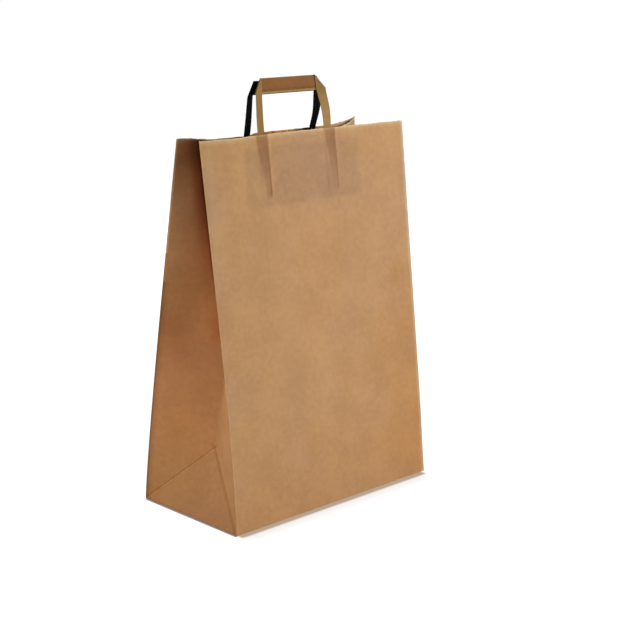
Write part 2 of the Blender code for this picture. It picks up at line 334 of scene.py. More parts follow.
def make_crease_group():
    """A crease from start to end on the sheet: a mask along the line, and a line of painted shade
    beside it.
    """
    group, w, given, result = start_group(
        "crease_line", "ShaderNodeTree",
        (("Vector", "NodeSocketVector", None), ("Start", "NodeSocketVector", None),
         ("End", "NodeSocketVector", None), ("Width", "NodeSocketFloat", 0.0007),
         ("Shadow", "NodeSocketFloat", 0.0014), ("Shift", "NodeSocketFloat", 0.0012)),
        (("Pale", "NodeSocketFloat"), ("Dark", "NodeSocketFloat")))
    core = 0.35                # share of the line mask's half width that has its full strength
    far, close = 0.010, 0.004  # past the crease's ends the painted shade line fades over this distance
    way = w.vector("SUBTRACT", given["End"], given["Start"])
    off = w.vector("SUBTRACT", given["Vector"], given["Start"])
    share = w.math("DIVIDE", w.vector("DOT_PRODUCT", off, way),
                   w.vector("DOT_PRODUCT", way, way), clamp=True)
    distance = w.vector("LENGTH", w.vector("SUBTRACT", off, w.scaled(way, share)))
    turned = w.node("ShaderNodeSeparateXYZ", {0: w.vector("CROSS_PRODUCT", way, off)}).outputs[2]
    to_left = w.math("DIVIDE", turned, w.vector("LENGTH", way))
    aside = w.math("ABSOLUTE", w.minus(to_left, given["Shift"]))
    w.feed(result["Pale"], w.ramp(distance, given["Width"], w.times(given["Width"], core)))
    w.feed(result["Dark"], w.times(w.ramp(aside, given["Shadow"], 0.0),
                                   w.ramp(distance, far, close)))
    return group


def place_group(w, group, inputs):
    made = w.node("ShaderNodeGroup")
    made.node_tree = group
    for name, value in inputs.items():
        w.feed(made.inputs[name], value)
    return made.outputs


def flat_colour(colour, factor=(1.0, 1.0, 1.0)):
    return tuple(c * f for c, f in zip(colour, factor)) + (1.0,)


def start_material(name):
    material = bpy.data.materials.new(name)
    material.use_nodes = True
    w = Wiring(material.node_tree)
    shader = material.node_tree.nodes["Principled BSDF"]
    vector = w.node("ShaderNodeUVMap", uv_map=UV_NAME).outputs[0]
    return material, w, shader, vector


def finish_paper(w, shader, colour, grain, rough, bump, specular=0.28):
    """Roughness and relief from the grain, which every paper has."""
    w.feed(shader.inputs["Base Color"], colour)
    w.feed(shader.inputs["Roughness"],
           w.ramp(grain["Fibre"], 0.3, 0.7, to_low=rough - 0.06, to_high=rough + 0.06))
    shader.inputs["Specular IOR Level"].default_value = specular
    relief = w.node("ShaderNodeBump", {"Height": grain["Height"], "Strength": bump,
                                       "Distance": 0.0002})
    w.feed(shader.inputs["Normal"], relief.outputs["Normal"])


def grained(w, colour, grain, cloudiness):
    """The paper's colour with its clouds, its fibres and its shives."""
    cloudy = w.blend(w.ramp(grain["Cloud"], 0.34, 0.66), flat_colour(colour, cloudiness),
                     flat_colour(colour, tuple(2.0 - c for c in cloudiness)))
    fibrous = w.blend(w.ramp(grain["Fibre"], 0.60, 0.74, 0.0, 0.32), cloudy,
                      flat_colour(colour, (1.22, 1.24, 1.30)))
    fibrous = w.blend(w.ramp(grain["Fibre"], 0.42, 0.30, 0.0, 0.28), fibrous,
                      flat_colour(colour, (0.80, 0.78, 0.72)))
    return w.blend(w.times(grain["Shive"], 0.45), fibrous,
                   flat_colour(colour, (0.50, 0.42, 0.34)))


class KraftSheet:
    """The bag's paper: its grain, its marks and its rubbed folds, with light and shade painted on
    it where patches and legs show through, on the left gusset, beside creases and along the rim.
    """

    # Each mark: middle, half size, softness of its border, strength, factor on the colour.
    # On the front panel the middle is counted from its lower left corner
    FRONT_MARKS = (
        # A small darker ochre spot on the right, and a painted highlight down the upper left edge
        ((0.291, 0.264), (0.006, 0.010), 0.012, 0.5, (0.86, 0.78, 0.62)),
        ((0.006, 0.370), (0.010, 0.075), 0.018, 0.9, (1.08, 1.17, 1.32)),
        # Ochre paper low on the right, and the rubbed right edge
        ((0.320, 0.110), (0.060, 0.140), 0.070, 0.9, (0.95, 0.86, 0.68)),
        ((0.3190, 0.225), (0.0030, 0.240), 0.0020, 1.0, (1.08, 1.32, 1.95)),
        # A paler patch in the middle, and a short upright line painted dark as the shade of a
        # small crease
        ((0.147, 0.150), (0.022, 0.055), 0.014, 0.7, (1.04, 1.06, 1.09)),
        ((0.080, 0.306), (0.0012, 0.024), 0.0016, 0.5, (0.90, 0.87, 0.82)),
    )
    # On the left gusset the middle is counted from its rear edge and from the base
    GUSSET_MARKS = (
        # The upper half, painted lighter, most at the rear edge, where more light reaches into the
        # pocket
        ((0.006, 0.345), (0.016, 0.045), 0.022, 0.9, (1.26, 1.38, 1.60)),
        ((0.046, 0.325), (0.014, 0.030), 0.022, 0.8, (1.12, 1.10, 1.10)),
        ((0.043, 0.305), (0.009, 0.018), 0.016, 0.7, (1.14, 1.12, 1.16)),
        # The dark upper end, where little light comes in
        ((0.055, 0.435), (0.025, 0.040), 0.025, 0.9, (0.80, 0.66, 0.52)),
        ((0.020, 0.445), (0.014, 0.024), 0.018, 0.8, (0.86, 0.72, 0.62)),
        # Painted light and shade half way up, the shade reddest beside the front panel's edge
        ((0.020, 0.215), (0.020, 0.030), 0.022, 0.8, (0.88, 0.80, 0.80)),
        ((0.062, 0.255), (0.010, 0.045), 0.022, 0.8, (1.18, 1.12, 1.10)),
        ((0.074, 0.262), (0.011, 0.052), 0.012, 0.8, (0.94, 0.76, 0.52)),
        ((0.006, 0.232), (0.009, 0.016), 0.020, 0.8, (0.84, 0.74, 0.72)),
        ((0.049, 0.242), (0.007, 0.018), 0.014, 0.7, (1.18, 1.16, 1.14)),
        # The rear edge is paler above, and painted darker below as shade
        ((0.000, 0.385), (0.0020, 0.070), 0.0014, 0.9, (1.60, 1.90, 2.40)),
        ((0.000, 0.140), (0.0055, 0.140), 0.0050, 0.9, (0.76, 0.70, 0.66)),
        ((0.000, 0.140), (0.0020, 0.140), 0.0014, 0.9, (0.66, 0.66, 0.62)),
    )
    # Where the left gusset goes in behind the front panel: start and end of the shade's middle
    # line, its half width, the heights between which it sets in, strength and factor
    GUSSET_SHADES = (
        ((0.0400, 0.460), (0.0740, 0.220), 0.0300, (0.235, 0.400), 1.0, (0.56, 0.29, 0.11)),
        ((0.0255, 0.455), (0.0740, 0.220), 0.0180, (0.300, 0.420), 0.9, (0.84, 0.72, 0.58)),
        ((0.0255, 0.455), (0.0740, 0.220), 0.0055, (0.250, 0.320), 0.9, (0.66, 0.52, 0.36)),
    )

    def __init__(self, groups, colours, bag, handles):
        self.grain_group, self.box_group, self.leg_group, self.crease_group = groups
        self.bag, self.handles = bag, handles
        self.material, self.w, self.shader, self.vector = start_material("kraft_sheet")
        self.along = self.w.split(self.vector)[1]
        self.grain = place_group(self.w, self.grain_group, {"Vector": self.vector, "Seed": 0.0})
        self.mottle = self.w.noise(self.vector, 34.0, detail=3.0, rough=0.6)
        self.colour = grained(self.w, tuple(colours.kraft), self.grain, (0.93, 0.92, 0.90))
        self.rear_middle = bag.width * 1.5 + bag.depth
        self.gusset_start = 2 * bag.width + bag.depth

    def box(self, centre, half, soft):
        return place_group(self.w, self.box_group, {
            "Vector": self.vector, "Centre": (*centre, 0.0), "Half Size": (*half, 0.0),
            "Soft": soft})["Mask"]

    def tinted(self, mask, strength, factor):
        return self.w.blend(self.w.times(mask, strength), self.colour,
                            self.w.blend(1.0, self.colour, (*factor, 1.0), "MULTIPLY"))

    def tint(self, mask, strength, factor):
        self.colour = self.tinted(mask, strength, factor)

    def mark_all(self, marks, start):
        for (across, along), half, soft, strength, factor in marks:
            self.tint(self.box((start + across, along), half, soft), strength, factor)

    def vary_tone(self):
        """Broad fields, some a little bluer and some a little warmer."""
        place = self.w.vector("ADD", self.vector, (3.1, 1.7, 0.0))
        broad = self.w.ramp(self.w.noise(place, 9.0), 0.35, 0.65)
        self.colour = self.w.blend(broad, self.tinted(1.0, 1.0, (0.985, 0.99, 1.05)),
                                   self.tinted(1.0, 1.0, (1.01, 1.0, 0.93)))

    def paint_patch_show_through(self, middle):
        """Painted show-through: the paper is greyer where a patch behind it holds back light, and
        bluer between the legs.
        """
        handles, w = self.handles, self.w
        height = self.bag.height - handles.patch_drop - handles.patch_height / 2
        half = (handles.patch_width / 2, handles.patch_height / 2)
        field = w.times(self.box((middle, height), half, 0.0045),
                        w.ramp(self.mottle, 0.36, 0.60, to_low=0.55))
        self.tint(field, 1.0, (0.86, 0.88, 0.93))
        between = self.box((middle - 0.005, height), (handles.leg_spacing / 2, half[1] - 0.004),
                           0.012)
        self.tint(between, 0.5, (0.96, 0.94, 1.00))

    def paint_leg_show_through_and_shade(self, middle, out):
        """Painted shade where one leg shows through and raises the paper, with a darker edge; out
        is -1 on the left and 1 on the right.
        """
        handles, w = self.handles, self.w
        edge = middle + out * handles.leg_spacing / 2 + handles.strip_width / 2
        leg = place_group(w, self.leg_group, {
            "Vector": self.vector, "Top Right": (edge - 0.0012 * (1 - out), self.bag.height, 0.0),
            "Width": handles.strip_width + 0.001, "Length": handles.leg_glued + 0.003,
            "Narrowing": 0.55, "Low End": 0.48 - 0.15 * out, "Soft": 0.0022})
        self.tint(leg["Mask"], 0.95, (0.60, 0.50, 0.38))
        self.tint(leg["Edge"], w.ramp(self.mottle, 0.40, 0.55, 0.4, 0.9), (0.72, 0.60, 0.50))

    def paint_handle_shade(self):
        handles, front_middle = self.handles, self.bag.width / 2
        front = front_middle + handles.front_x
        rear = self.rear_middle - handles.rear_x
        self.paint_patch_show_through(front + handles.patch_shift)
        self.paint_patch_show_through(rear - handles.patch_shift)
        for middle in (front, rear):
            self.paint_leg_show_through_and_shade(middle, -1)
            self.paint_leg_show_through_and_shade(middle, 1)

    def shade_gusset(self):
        """Painted shade on the left gusset: redder than the panels, darkest where it goes in
        behind them, and darker along its base.
        """
        w, start, quarter = self.w, self.gusset_start, self.bag.depth / 4
        # Painted shade: most of the gusset's rear half is redder, as in its shaded pocket
        self.tint(self.box((start + quarter, 0.270), (quarter, 0.190), 0.035), 1.0,
                  (1.0, 0.89, 0.82))
        # Painted shade at the gusset's upper end
        self.tint(self.box((start + quarter, 0.460), (quarter, 0.034), 0.026), 0.95,
                  (0.40, 0.33, 0.30))
        for (u, v), (end_u, end_v), width, (low, high), strength, factor in self.GUSSET_SHADES:
            shade = place_group(w, self.crease_group, {
                "Vector": self.vector, "Start": (start + u, v, 0.0),
                "End": (start + end_u, end_v, 0.0), "Width": width})["Pale"]
            self.tint(w.times(shade, w.ramp(self.along, low, high)), strength, factor)
        # Painted shade along the gusset's base, where it meets the floor
        self.tint(self.box((start + 2 * quarter, 0.0), (2 * quarter, 0.0014), 0.0014), 0.9,
                  (0.55, 0.60, 0.85))

    def draw_crease(self, corner, out, sharp):
        """A slanting crease of the block bottom, from its corner; the one in view is sharp."""
        w, reach = self.w, self.bag.depth / 2
        line = place_group(w, self.crease_group, {
            "Vector": self.vector, "Start": (corner, 0.0, 0.0),
            "End": (corner + out * reach, reach, 0.0),
            "Width": 0.0008 if sharp else 0.0006,
            "Shadow": 0.0013 if sharp else 0.0045,
            "Shift": (0.0013 if sharp else -0.0010) * out})
        rubbed = w.ramp(w.noise(self.vector, 90.0), 0.40, 0.62, to_low=0.35)
        # Painted shade beside the crease; the lighter line on it is rubbed wear
        self.tint(line["Dark"], 0.8, (0.70, 0.60, 0.50) if sharp else (0.80, 0.72, 0.62))
        self.tint(w.times(line["Pale"], rubbed), 0.8 if sharp else 0.25, (1.35, 1.32, 1.22))

    def draw_creases(self):
        for start in (self.bag.width, self.gusset_start):
            self.draw_crease(start, 1, start == self.gusset_start)
            self.draw_crease(start + self.bag.depth, -1, False)

    def paint_rim_highlight(self):
        """The cut rim is painted lighter as a highlight, painted darker and greyer as shade at the
        rear right corner, and painted ragged and orange inside where light comes through it.
        """
        bag, w, rim = self.bag, self.w, self.bag.height
        # Painted highlight along the rim
        self.tint(w.ramp(self.along, rim - 0.0075, rim - 0.0010), 0.9, (1.13, 1.27, 1.32))
        self.tint(w.ramp(self.along, rim - 0.0032, rim), 0.9, (1.16, 1.36, 1.75))
        # Painted shade at the rear right corner's rim
        self.tint(self.box((bag.width + bag.depth, rim), (0.045, 0.020), 0.015), 0.9,
                  (0.66, 0.74, 0.84))
        facing = w.split(w.node("ShaderNodeTexCoord").outputs["Normal"])[1]
        lit = w.times(self.box((self.rear_middle, rim), (0.060, 0.0055), 0.002),
                      w.ramp(facing, 0.1, -0.1))
        rag = w.noise(self.vector, 260.0, rough=0.7)
        self.tint(lit, 0.9, (1.70, 1.22, 0.50))
        self.tint(w.times(lit, w.ramp(rag, 0.52, 0.62)), 0.8, (0.45, 0.35, 0.20))

    def paint_wear_and_rim_highlight(self):
        w = self.w
        # Lighter where the folds are rubbed, and along the rim, where the same field paints a
        # highlight
        broken = w.ramp(w.noise(self.vector, 120.0, detail=3.0, rough=0.7), 0.38, 0.62,
                        to_low=0.45)
        self.tint(w.times(w.field("wear"), broken), 0.9, (1.32, 1.34, 1.30))

    def finish(self):
        self.vary_tone()
        self.paint_handle_shade()
        self.mark_all(self.FRONT_MARKS, 0.0)
        # Painted shade: the sheet is darker and warmer towards the base
        self.tint(self.w.ramp(self.along, 0.120, 0.0), 0.6, (0.95, 0.90, 0.84))
        self.mark_all(self.GUSSET_MARKS, self.gusset_start)
        self.shade_gusset()
        self.draw_creases()
        self.paint_rim_highlight()
        self.paint_wear_and_rim_highlight()
        finish_paper(self.w, self.shader, self.colour, self.grain, 0.72, 0.22)
        return self.material


def make_strip_material(groups, name, colour_value, seed, specular, factors):
    """A handle's paper: its colour is multiplied by a factor in each field of the strip, which
    paints its rubbed edges and its light and shade.
    """
    material, w, shader, vector = start_material(name)
    grain = place_group(w, groups[0], {"Vector": vector, "Seed": seed})
    colour = grained(w, colour_value, grain, (0.92, 0.91, 0.89))
    masks = {field: w.field(field) for field in ("turned", "wear", "pale", "lip")}
    masks["gap"] = w.times(masks["lip"], -1.0)   # the field is -1 in the gap beside the lip, which is painted darker as shade
    for field, factor in factors.items():
        colour = w.blend(masks[field], colour, w.blend(1.0, colour, (*factor, 1.0), "MULTIPLY"))
    finish_paper(w, shader, colour, grain, 0.70, 0.25, specular)
    return material


def make_patch_material(groups, colours):
    material, w, shader, vector = start_material("patch_sheet")
    grain = place_group(w, groups[0], {"Vector": vector, "Seed": 3.7})
    colour = grained(w, tuple(colours.patch), grain, (0.92, 0.91, 0.89))
    finish_paper(w, shader, colour, grain, 0.76, 0.25)
    return material


# Geometry node trees


def make_buckle_tree():
    """Waves a sheet in and out where no fold holds it, and frays its cut rim a little."""
    group, w, given, result = start_group(
        "paper_buckle", "GeometryNodeTree",
        (("Geometry", "NodeSocketGeometry", None), ("Depth", "NodeSocketFloat", 0.001),
         ("Size", "NodeSocketFloat", 0.08), ("Seed", "NodeSocketFloat", 0.0),
         ("Rim", "NodeSocketFloat", 0.0), ("Paper", "NodeSocketMaterial", None)),
        (("Geometry", "NodeSocketGeometry"),))
    place = w.node("GeometryNodeInputPosition").outputs[0]
    normal = w.node("GeometryNodeInputNormal").outputs[0]
    free = w.node("GeometryNodeInputNamedAttribute", {"Name": "free"},
                  data_type="FLOAT").outputs["Attribute"]
    rim = w.node("GeometryNodeInputNamedAttribute", {"Name": "rim"},
                 data_type="FLOAT").outputs["Attribute"]
    shifted = w.vector("ADD", place, w.join(given["Seed"], 0.0, given["Seed"]))
    squeezed = w.vector("MULTIPLY", shifted, (1.0, 1.0, 0.55))
    wave = w.noise(squeezed, w.math("DIVIDE", 1.0, given["Size"]), rough=0.45)
    out = w.times(w.minus(wave, 0.5), w.times(given["Depth"], 2.0))
    push = w.scaled(normal, w.times(out, free))
    ragged = w.plus(w.noise(shifted, 420.0, rough=0.7), w.noise(shifted, 95.0, detail=1.0))
    fray = w.minus(ragged, 1.0)
    lift = w.join(0.0, 0.0, w.times(w.times(fray, rim), given["Rim"]))
    moved = w.node("GeometryNodeSetPosition", {"Geometry": given["Geometry"],
                                               "Offset": w.vector("ADD", push, lift)})
    real = w.node("GeometryNodeRealizeInstances", {"Geometry": moved.outputs[0]})
    papered = w.node("GeometryNodeSetMaterial", {"Geometry": real.outputs[0],
                                                 "Material": given["Paper"]})
    w.feed(result["Geometry"], papered.outputs[0])
    return group


def put_on_buckle(target, tree, values):
    modifier = target.modifiers.new("paper buckle", "NODES")
    modifier.node_group = tree
    for item in tree.interface.items_tree:
        if item.item_type == "SOCKET" and item.in_out == "INPUT" and item.name in values:
            modifier[item.identifier] = values[item.name]


# Sheets of paper as meshes


def smooth(share):
    share = np.clip(share, 0.0, 1.0)
    return share * share * (3 - 2 * share)


def part_above(foot, share):
    """0 where share is foot, and 1 where share is 1."""
    return (share - foot) / (1 - foot)


def hump(value, middle, half):
    """1 in the middle, and smoothly down to 0 at half to each side."""
    return smooth(1 - np.abs(value - middle) / half)


class SheetMesh:
    """Gathers grids of paper, each with its place on the flat sheet, into one mesh."""

    def __init__(self):
        self.points = []
        self.faces = []
        self.paper = []
        self.fields = {}
        self.count = 0

    def add_grid(self, points, paper, **fields):
        """Points and paper are arrays of rows by columns; fields give a value at each point."""
        rows, columns = points.shape[:2]
        self.points.append(points.reshape(-1, 3))
        self.paper.append(np.broadcast_to(paper, (rows, columns, 2)).reshape(-1, 2))
        for name, value in fields.items():
            values = np.broadcast_to(value, (rows, columns)).reshape(-1)
            self.fields.setdefault(name, []).append(values)
        index = np.arange(rows * columns).reshape(rows, columns) + self.count
        quads = np.stack((index[:-1, :-1], index[:-1, 1:], index[1:, 1:], index[1:, :-1]), -1)
        self.faces.append(quads.reshape(-1, 4))
        self.count += rows * columns

    def build(self, name):
        points = np.concatenate(self.points)
        faces = np.concatenate(self.faces)
        paper = np.concatenate(self.paper)
        mesh = bpy.data.meshes.new(name)
        mesh.from_pydata(points.tolist(), [], faces.tolist())
        layer = mesh.uv_layers.new(name=UV_NAME)
        layer.data.foreach_set("uv", paper[faces.reshape(-1)].astype(np.float32).reshape(-1))
        for field, values in self.fields.items():
            attribute = mesh.attributes.new(field, "FLOAT", "POINT")
            attribute.data.foreach_set("value", np.concatenate(values).astype(np.float32))
        bm = bmesh.new()
        bm.from_mesh(mesh)
        bmesh.ops.remove_doubles(bm, verts=bm.verts, dist=MERGE)
        bmesh.ops.dissolve_degenerate(bm, edges=bm.edges, dist=MERGE / 4)
        bm.to_mesh(mesh)
        bm.free()
        made = bpy.data.objects.new(name, mesh)
        bpy.context.scene.collection.objects.link(made)
        return made


def settle(target, sharp_angle):
    """Turns an object with its modifiers into a plain mesh, shaded smooth but for its folds."""
    graph = bpy.context.evaluated_depsgraph_get()
    mesh = bpy.data.meshes.new_from_object(target.evaluated_get(graph))
    old = target.data
    target.modifiers.clear()
    target.data = mesh
    bpy.data.meshes.remove(old)
    mesh.name = target.name
    mesh.shade_smooth()
    mesh.set_sharp_from_angle(angle=math.radians(sharp_angle))


def thicken(target, thickness, offset):
    solid = target.modifiers.new("paper thickness", "SOLIDIFY")
    solid.thickness = thickness
    solid.offset = offset
    solid.use_even_offset = True
    solid.use_quality_normals = True


def place(target, node, slot):
    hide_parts(node)
    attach(target, BODY)


# The bag's form


class BagForm:
    """The open bag: rules that give the point in space for a place on the folded paper."""
    LEFT_SPAN = 0.100          # the rear rim bends over this length at its left corner
    RIGHT_SPAN = 0.122         # and over this length at its right corner
    CURL_POWER = 7.0           # the right corner's curl grows with this power of the height
    GUSSET_SAG = 0.006         # the right gusset's rear half hangs forward this far at the rim
    BELLY_SKEW = 0.6           # under 1, the panels bulge most below half height
    EDGE_BACK = 0.0048         # the front panel's left edge bends back this far at the rim,
    EDGE_SPAN = 0.045          # over this width,
    EDGE_FOOT = 0.3            # from this share of the height up
    FOLD_PUSH = (0.0040, -0.0040, 0.0)   # the left gusset is pressed in above its base,
    FOLD_PUSH_SPAN = 0.10      # over this share of the height to each side
    FOLD_SINK = (0.0090, 0.0080)         # a gusset's rim dips this far at its middle fold
    RIGHT_OUT = 0.0017         # the front panel's right edge stands forward this far,
    RIGHT_OUT_FULL = 0.25      # in full from this share of the height up
    RIM_RISE = 0.0011          # the front rim is cut this much higher at its right,
    RISE_START, RISE_RUN = 0.1, 0.25     # rising from this share of the width, over this share,
    RISE_FOOT = 0.6            # and drawn up from this share of the height
    REAR_DIP = (0.0, 0.000312, -0.00276)   # the rear rim sags by this left of its handle,
    DIP_START, DIP_START_RUN = -0.155, 0.045   # from here, in full after this length,
    DIP_END, DIP_END_RUN = -0.048, 0.016       # until here, fading over this length,
    DIP_FOOT = 0.8             # and from this share of the height up

    def __init__(self, bag):
        self.bag = bag
        self.tip = self.find_tip()

    def belly(self, share):
        return np.sin(np.pi * np.clip(share, 0, 1) ** self.BELLY_SKEW)

    def front(self, across, share):
        bag = self.bag
        across, share = np.broadcast_arrays(across, share)
        lean = bag.front_rim_y + bag.depth / 2
        rim_z = math.sqrt(bag.height ** 2 - lean ** 2)
        bow = bag.front_bow * (1 - across) * self.belly(share)
        left = np.clip(1 - across * bag.width / self.EDGE_SPAN, 0, 1) ** 2
        back = self.EDGE_BACK * left * np.clip(part_above(self.EDGE_FOOT, share), 0, None)
        out = self.RIGHT_OUT * np.clip(across, 0, 1) ** 2 * smooth(share / self.RIGHT_OUT_FULL)
        rise = (self.RIM_RISE * smooth((across - self.RISE_START) / self.RISE_RUN)
                * smooth(part_above(self.RISE_FOOT, share)))
        return np.stack((bag.width * (across - 0.5),
                         lean * share - bag.depth / 2 - bow + back - out,
                         rim_z * share + rise), -1)

    def rear(self, across, share):
        bag = self.bag
        across, share = np.broadcast_arrays(across, share)
        left = np.clip(1 - across * bag.width / self.LEFT_SPAN, 0, None)
        right = np.clip(1 - (1 - across) * bag.width / self.RIGHT_SPAN, 0, None)
        opening = bag.left_open * left ** 2 + bag.right_open * right ** 2
        curl = bag.curl * right ** 2
        taken_up = 2 * (bag.right_open + bag.curl) ** 2 / (3 * self.RIGHT_SPAN) * right ** 3
        slide = bag.rear_shift - taken_up
        lean = bag.rear_rim_y + opening - bag.depth / 2
        rim_z = np.sqrt(bag.height ** 2 - lean ** 2 - slide ** 2)
        x = bag.width * (across - 0.5) + slide * share
        y = (bag.depth / 2 + lean * share + curl * share ** self.CURL_POWER
             + bag.rear_bow * self.belly(share))
        return np.stack((x, y, rim_z * share), -1)

    def rear_dip(self, across, share):
        """How the rear rim's small sag beside its handle moves each point."""
        x = self.bag.width * (across - 0.5)
        begun = smooth((x - self.DIP_START) / self.DIP_START_RUN)
        left_over = smooth((self.DIP_END - x) / self.DIP_END_RUN)
        dip = begun * left_over * smooth(part_above(self.DIP_FOOT, share))
        return dip[..., None] * np.array(self.REAR_DIP)

    def fold(self, side, share):
        """A point of a gusset's middle fold: both halves of the gusset keep their width."""
        share = np.asarray(share, float)
        front = self.front(float(side), share)
        half_gap = (self.rear(float(side), share) - front) / 2
        depth = np.sqrt(np.clip((self.bag.depth / 2) ** 2 - (half_gap ** 2).sum(-1), 0, None))
        inward = np.stack((half_gap[..., 1], -half_gap[..., 0], np.zeros(share.shape)), -1)
        inward /= np.linalg.norm(inward, axis=-1, keepdims=True)
        return front + half_gap + inward * (1 - 2 * side) * depth[..., None]

    def give(self, side, share):
        """How far the middle fold has moved off its place in a crisply folded bag."""
        share = np.asarray(share, float)[..., None]
        push = np.array(self.FOLD_PUSH) * hump(share, self.tip, self.FOLD_PUSH_SPAN) * (1 - side)
        sink = np.clip((share - self.tip) / (1 - self.tip), 0, 1) * self.FOLD_SINK[side]
        return push - sink * np.array((0.0, 0.0, 1.0))

    def foot(self, side):
        return np.array((self.bag.width * (side - 0.5), 0.0, 0.0))

    def find_tip(self):
        low, high = 0.0, 1.0
        while high - low > 1e-6:
            middle = (low + high) / 2
            if np.linalg.norm(self.fold(0, middle) - self.foot(0)) < self.bag.depth / 2:
                low = middle
            else:
                high = middle
        return high

    def tip_point(self, side):
        way = self.fold(side, self.tip) - self.foot(side)
        half = self.bag.depth / 2
        return self.foot(side) + way / np.linalg.norm(way) * half + self.give(side, self.tip)

    def crease(self, wall, side, share):
        """The slanting crease from a base corner up to the tip of the base triangle."""
        part = np.clip(share / self.tip, 0, 1)[..., None]
        return wall(float(side), 0.0) * (1 - part) + self.tip_point(side) * part

    def inner(self, wall, side, share):
        share = np.asarray(share, float)
        low = self.crease(wall, side, share)
        high = self.fold(side, share) + self.give(side, share)
        return np.where((share <= self.tip)[..., None], low, high)

    def half_gusset(self, wall, side, share, along):
        """A point of half a gusset: along runs from the panel's edge to the inner fold."""
        share, along = np.broadcast_arrays(share, along)
        edge = wall(float(side), share)
        inner = self.inner(wall, side, share)
        flat = edge * (1 - along[..., None]) + inner * along[..., None]
        if wall == self.rear and side == RIGHT:
            flat[..., 1] -= 4 * self.GUSSET_SAG * share * along * (1 - along)
        return flat

    def triangle(self, side, share, along):
        """A point of the base triangle, along from its front crease to its rear crease."""
        share, along = np.broadcast_arrays(share, along)
        front = self.crease(self.front, side, share)
        rear = self.crease(self.rear, side, share)
        return front * (1 - along[..., None]) + rear * along[..., None]

    def against(self, wall, x, up, depth):
        """At x across a panel, up above its rim and depth in from its outer face."""
        bag = self.bag
        step = 0.01
        slide = bag.rear_shift if wall == self.rear else 0.0
        across = (x - slide) / bag.width + 0.5
        share = np.minimum(1 + up / bag.height, 1.0)
        along = wall(across + step, share) - wall(across - step, share)
        rise = wall(across, share) - wall(across, share - step)
        inward = np.cross(along, rise) * (1 if wall == self.rear else -1)
        inward /= np.linalg.norm(inward, axis=-1, keepdims=True)
        rise /= np.linalg.norm(rise, axis=-1, keepdims=True)
        return (wall(across, share) + inward * np.asarray(depth)[..., None]
                + rise * np.maximum(up, 0.0)[..., None])


# The rows of the base fold: distance in from the bag's side, height, and place up the flat sheet
BASE_TURN = ((0.00300, 0.0, -0.0034), (0.00090, 0.0, -0.0013),
             (0.00045, 0.00008, -0.0008), (0.00015, 0.00035, -0.0003))


def creased_columns(width, step):
    """Places across a strip of paper between two folds, finer beside each fold."""
    count = max(2, round((width - 6 * FOLD_RUN) / step))
    middle = np.linspace(3 * FOLD_RUN, width - 3 * FOLD_RUN, count + 1)
    ends = np.array((0.0, FOLD_RUN))
    return np.concatenate((ends, middle, width - ends[::-1]))


def worn_beside(distance):
    """1 on a fold, fading over the run of its wear."""
    return np.clip(1 - distance / WEAR_RUN, 0, 1)


def fold_wear(place_across, width):
    """The wear of a panel that has a fold along each side."""
    return worn_beside(np.minimum(place_across, width - place_across))


def share_rows(form, bag):
    """Rows up the paper, as shares: fine at the base fold, in the leg field and at the rim."""
    height = bag.height
    leg_field = 0.80
    base = np.array((0.0008, 0.0016, 0.003)) / height
    to_tip = np.linspace(0.006 / height, form.tip, 17)
    middle = np.linspace(form.tip, leg_field, 56)[1:]
    upper = np.linspace(leg_field, 1 - 0.0025 / height, 29)[1:]
    rim = 1 - np.array((0.0012, 0.0004, 0.0)) / height
    return np.concatenate((base, to_tip, middle, upper, rim))


def panel_press(bag, handles, across_m, share, middle):
    """Where the handle's legs press a panel outwards: 1 over a leg and 0 away from it."""
    beside, below = 0.0018, 0.006   # the paper comes back to its plane this far past a leg
    from_rim = (1 - share) * bag.height
    fade = smooth((handles.leg_glued + below - from_rim) / (2 * below))
    total = np.zeros(np.broadcast(across_m, share).shape)
    for out in (-1, 1):
        leg = middle + out * handles.leg_spacing / 2
        past = handles.strip_width / 2 + beside - np.abs(across_m - leg)
        total += smooth(past / (2 * beside))
    return total * fade


def turn_at_base(points, bag):
    """Puts the rows of the base fold, where the paper turns in under the bag, before the rest."""
    rows = []
    for inset, z, _ in BASE_TURN:
        row = points[0].copy()
        row[..., 0] *= 1 - inset / (bag.width / 2)
        row[..., 1] *= 1 - inset / (bag.depth / 2)
        row[..., 2] = z
        rows.append(row)
    return np.concatenate((np.stack(rows), points))


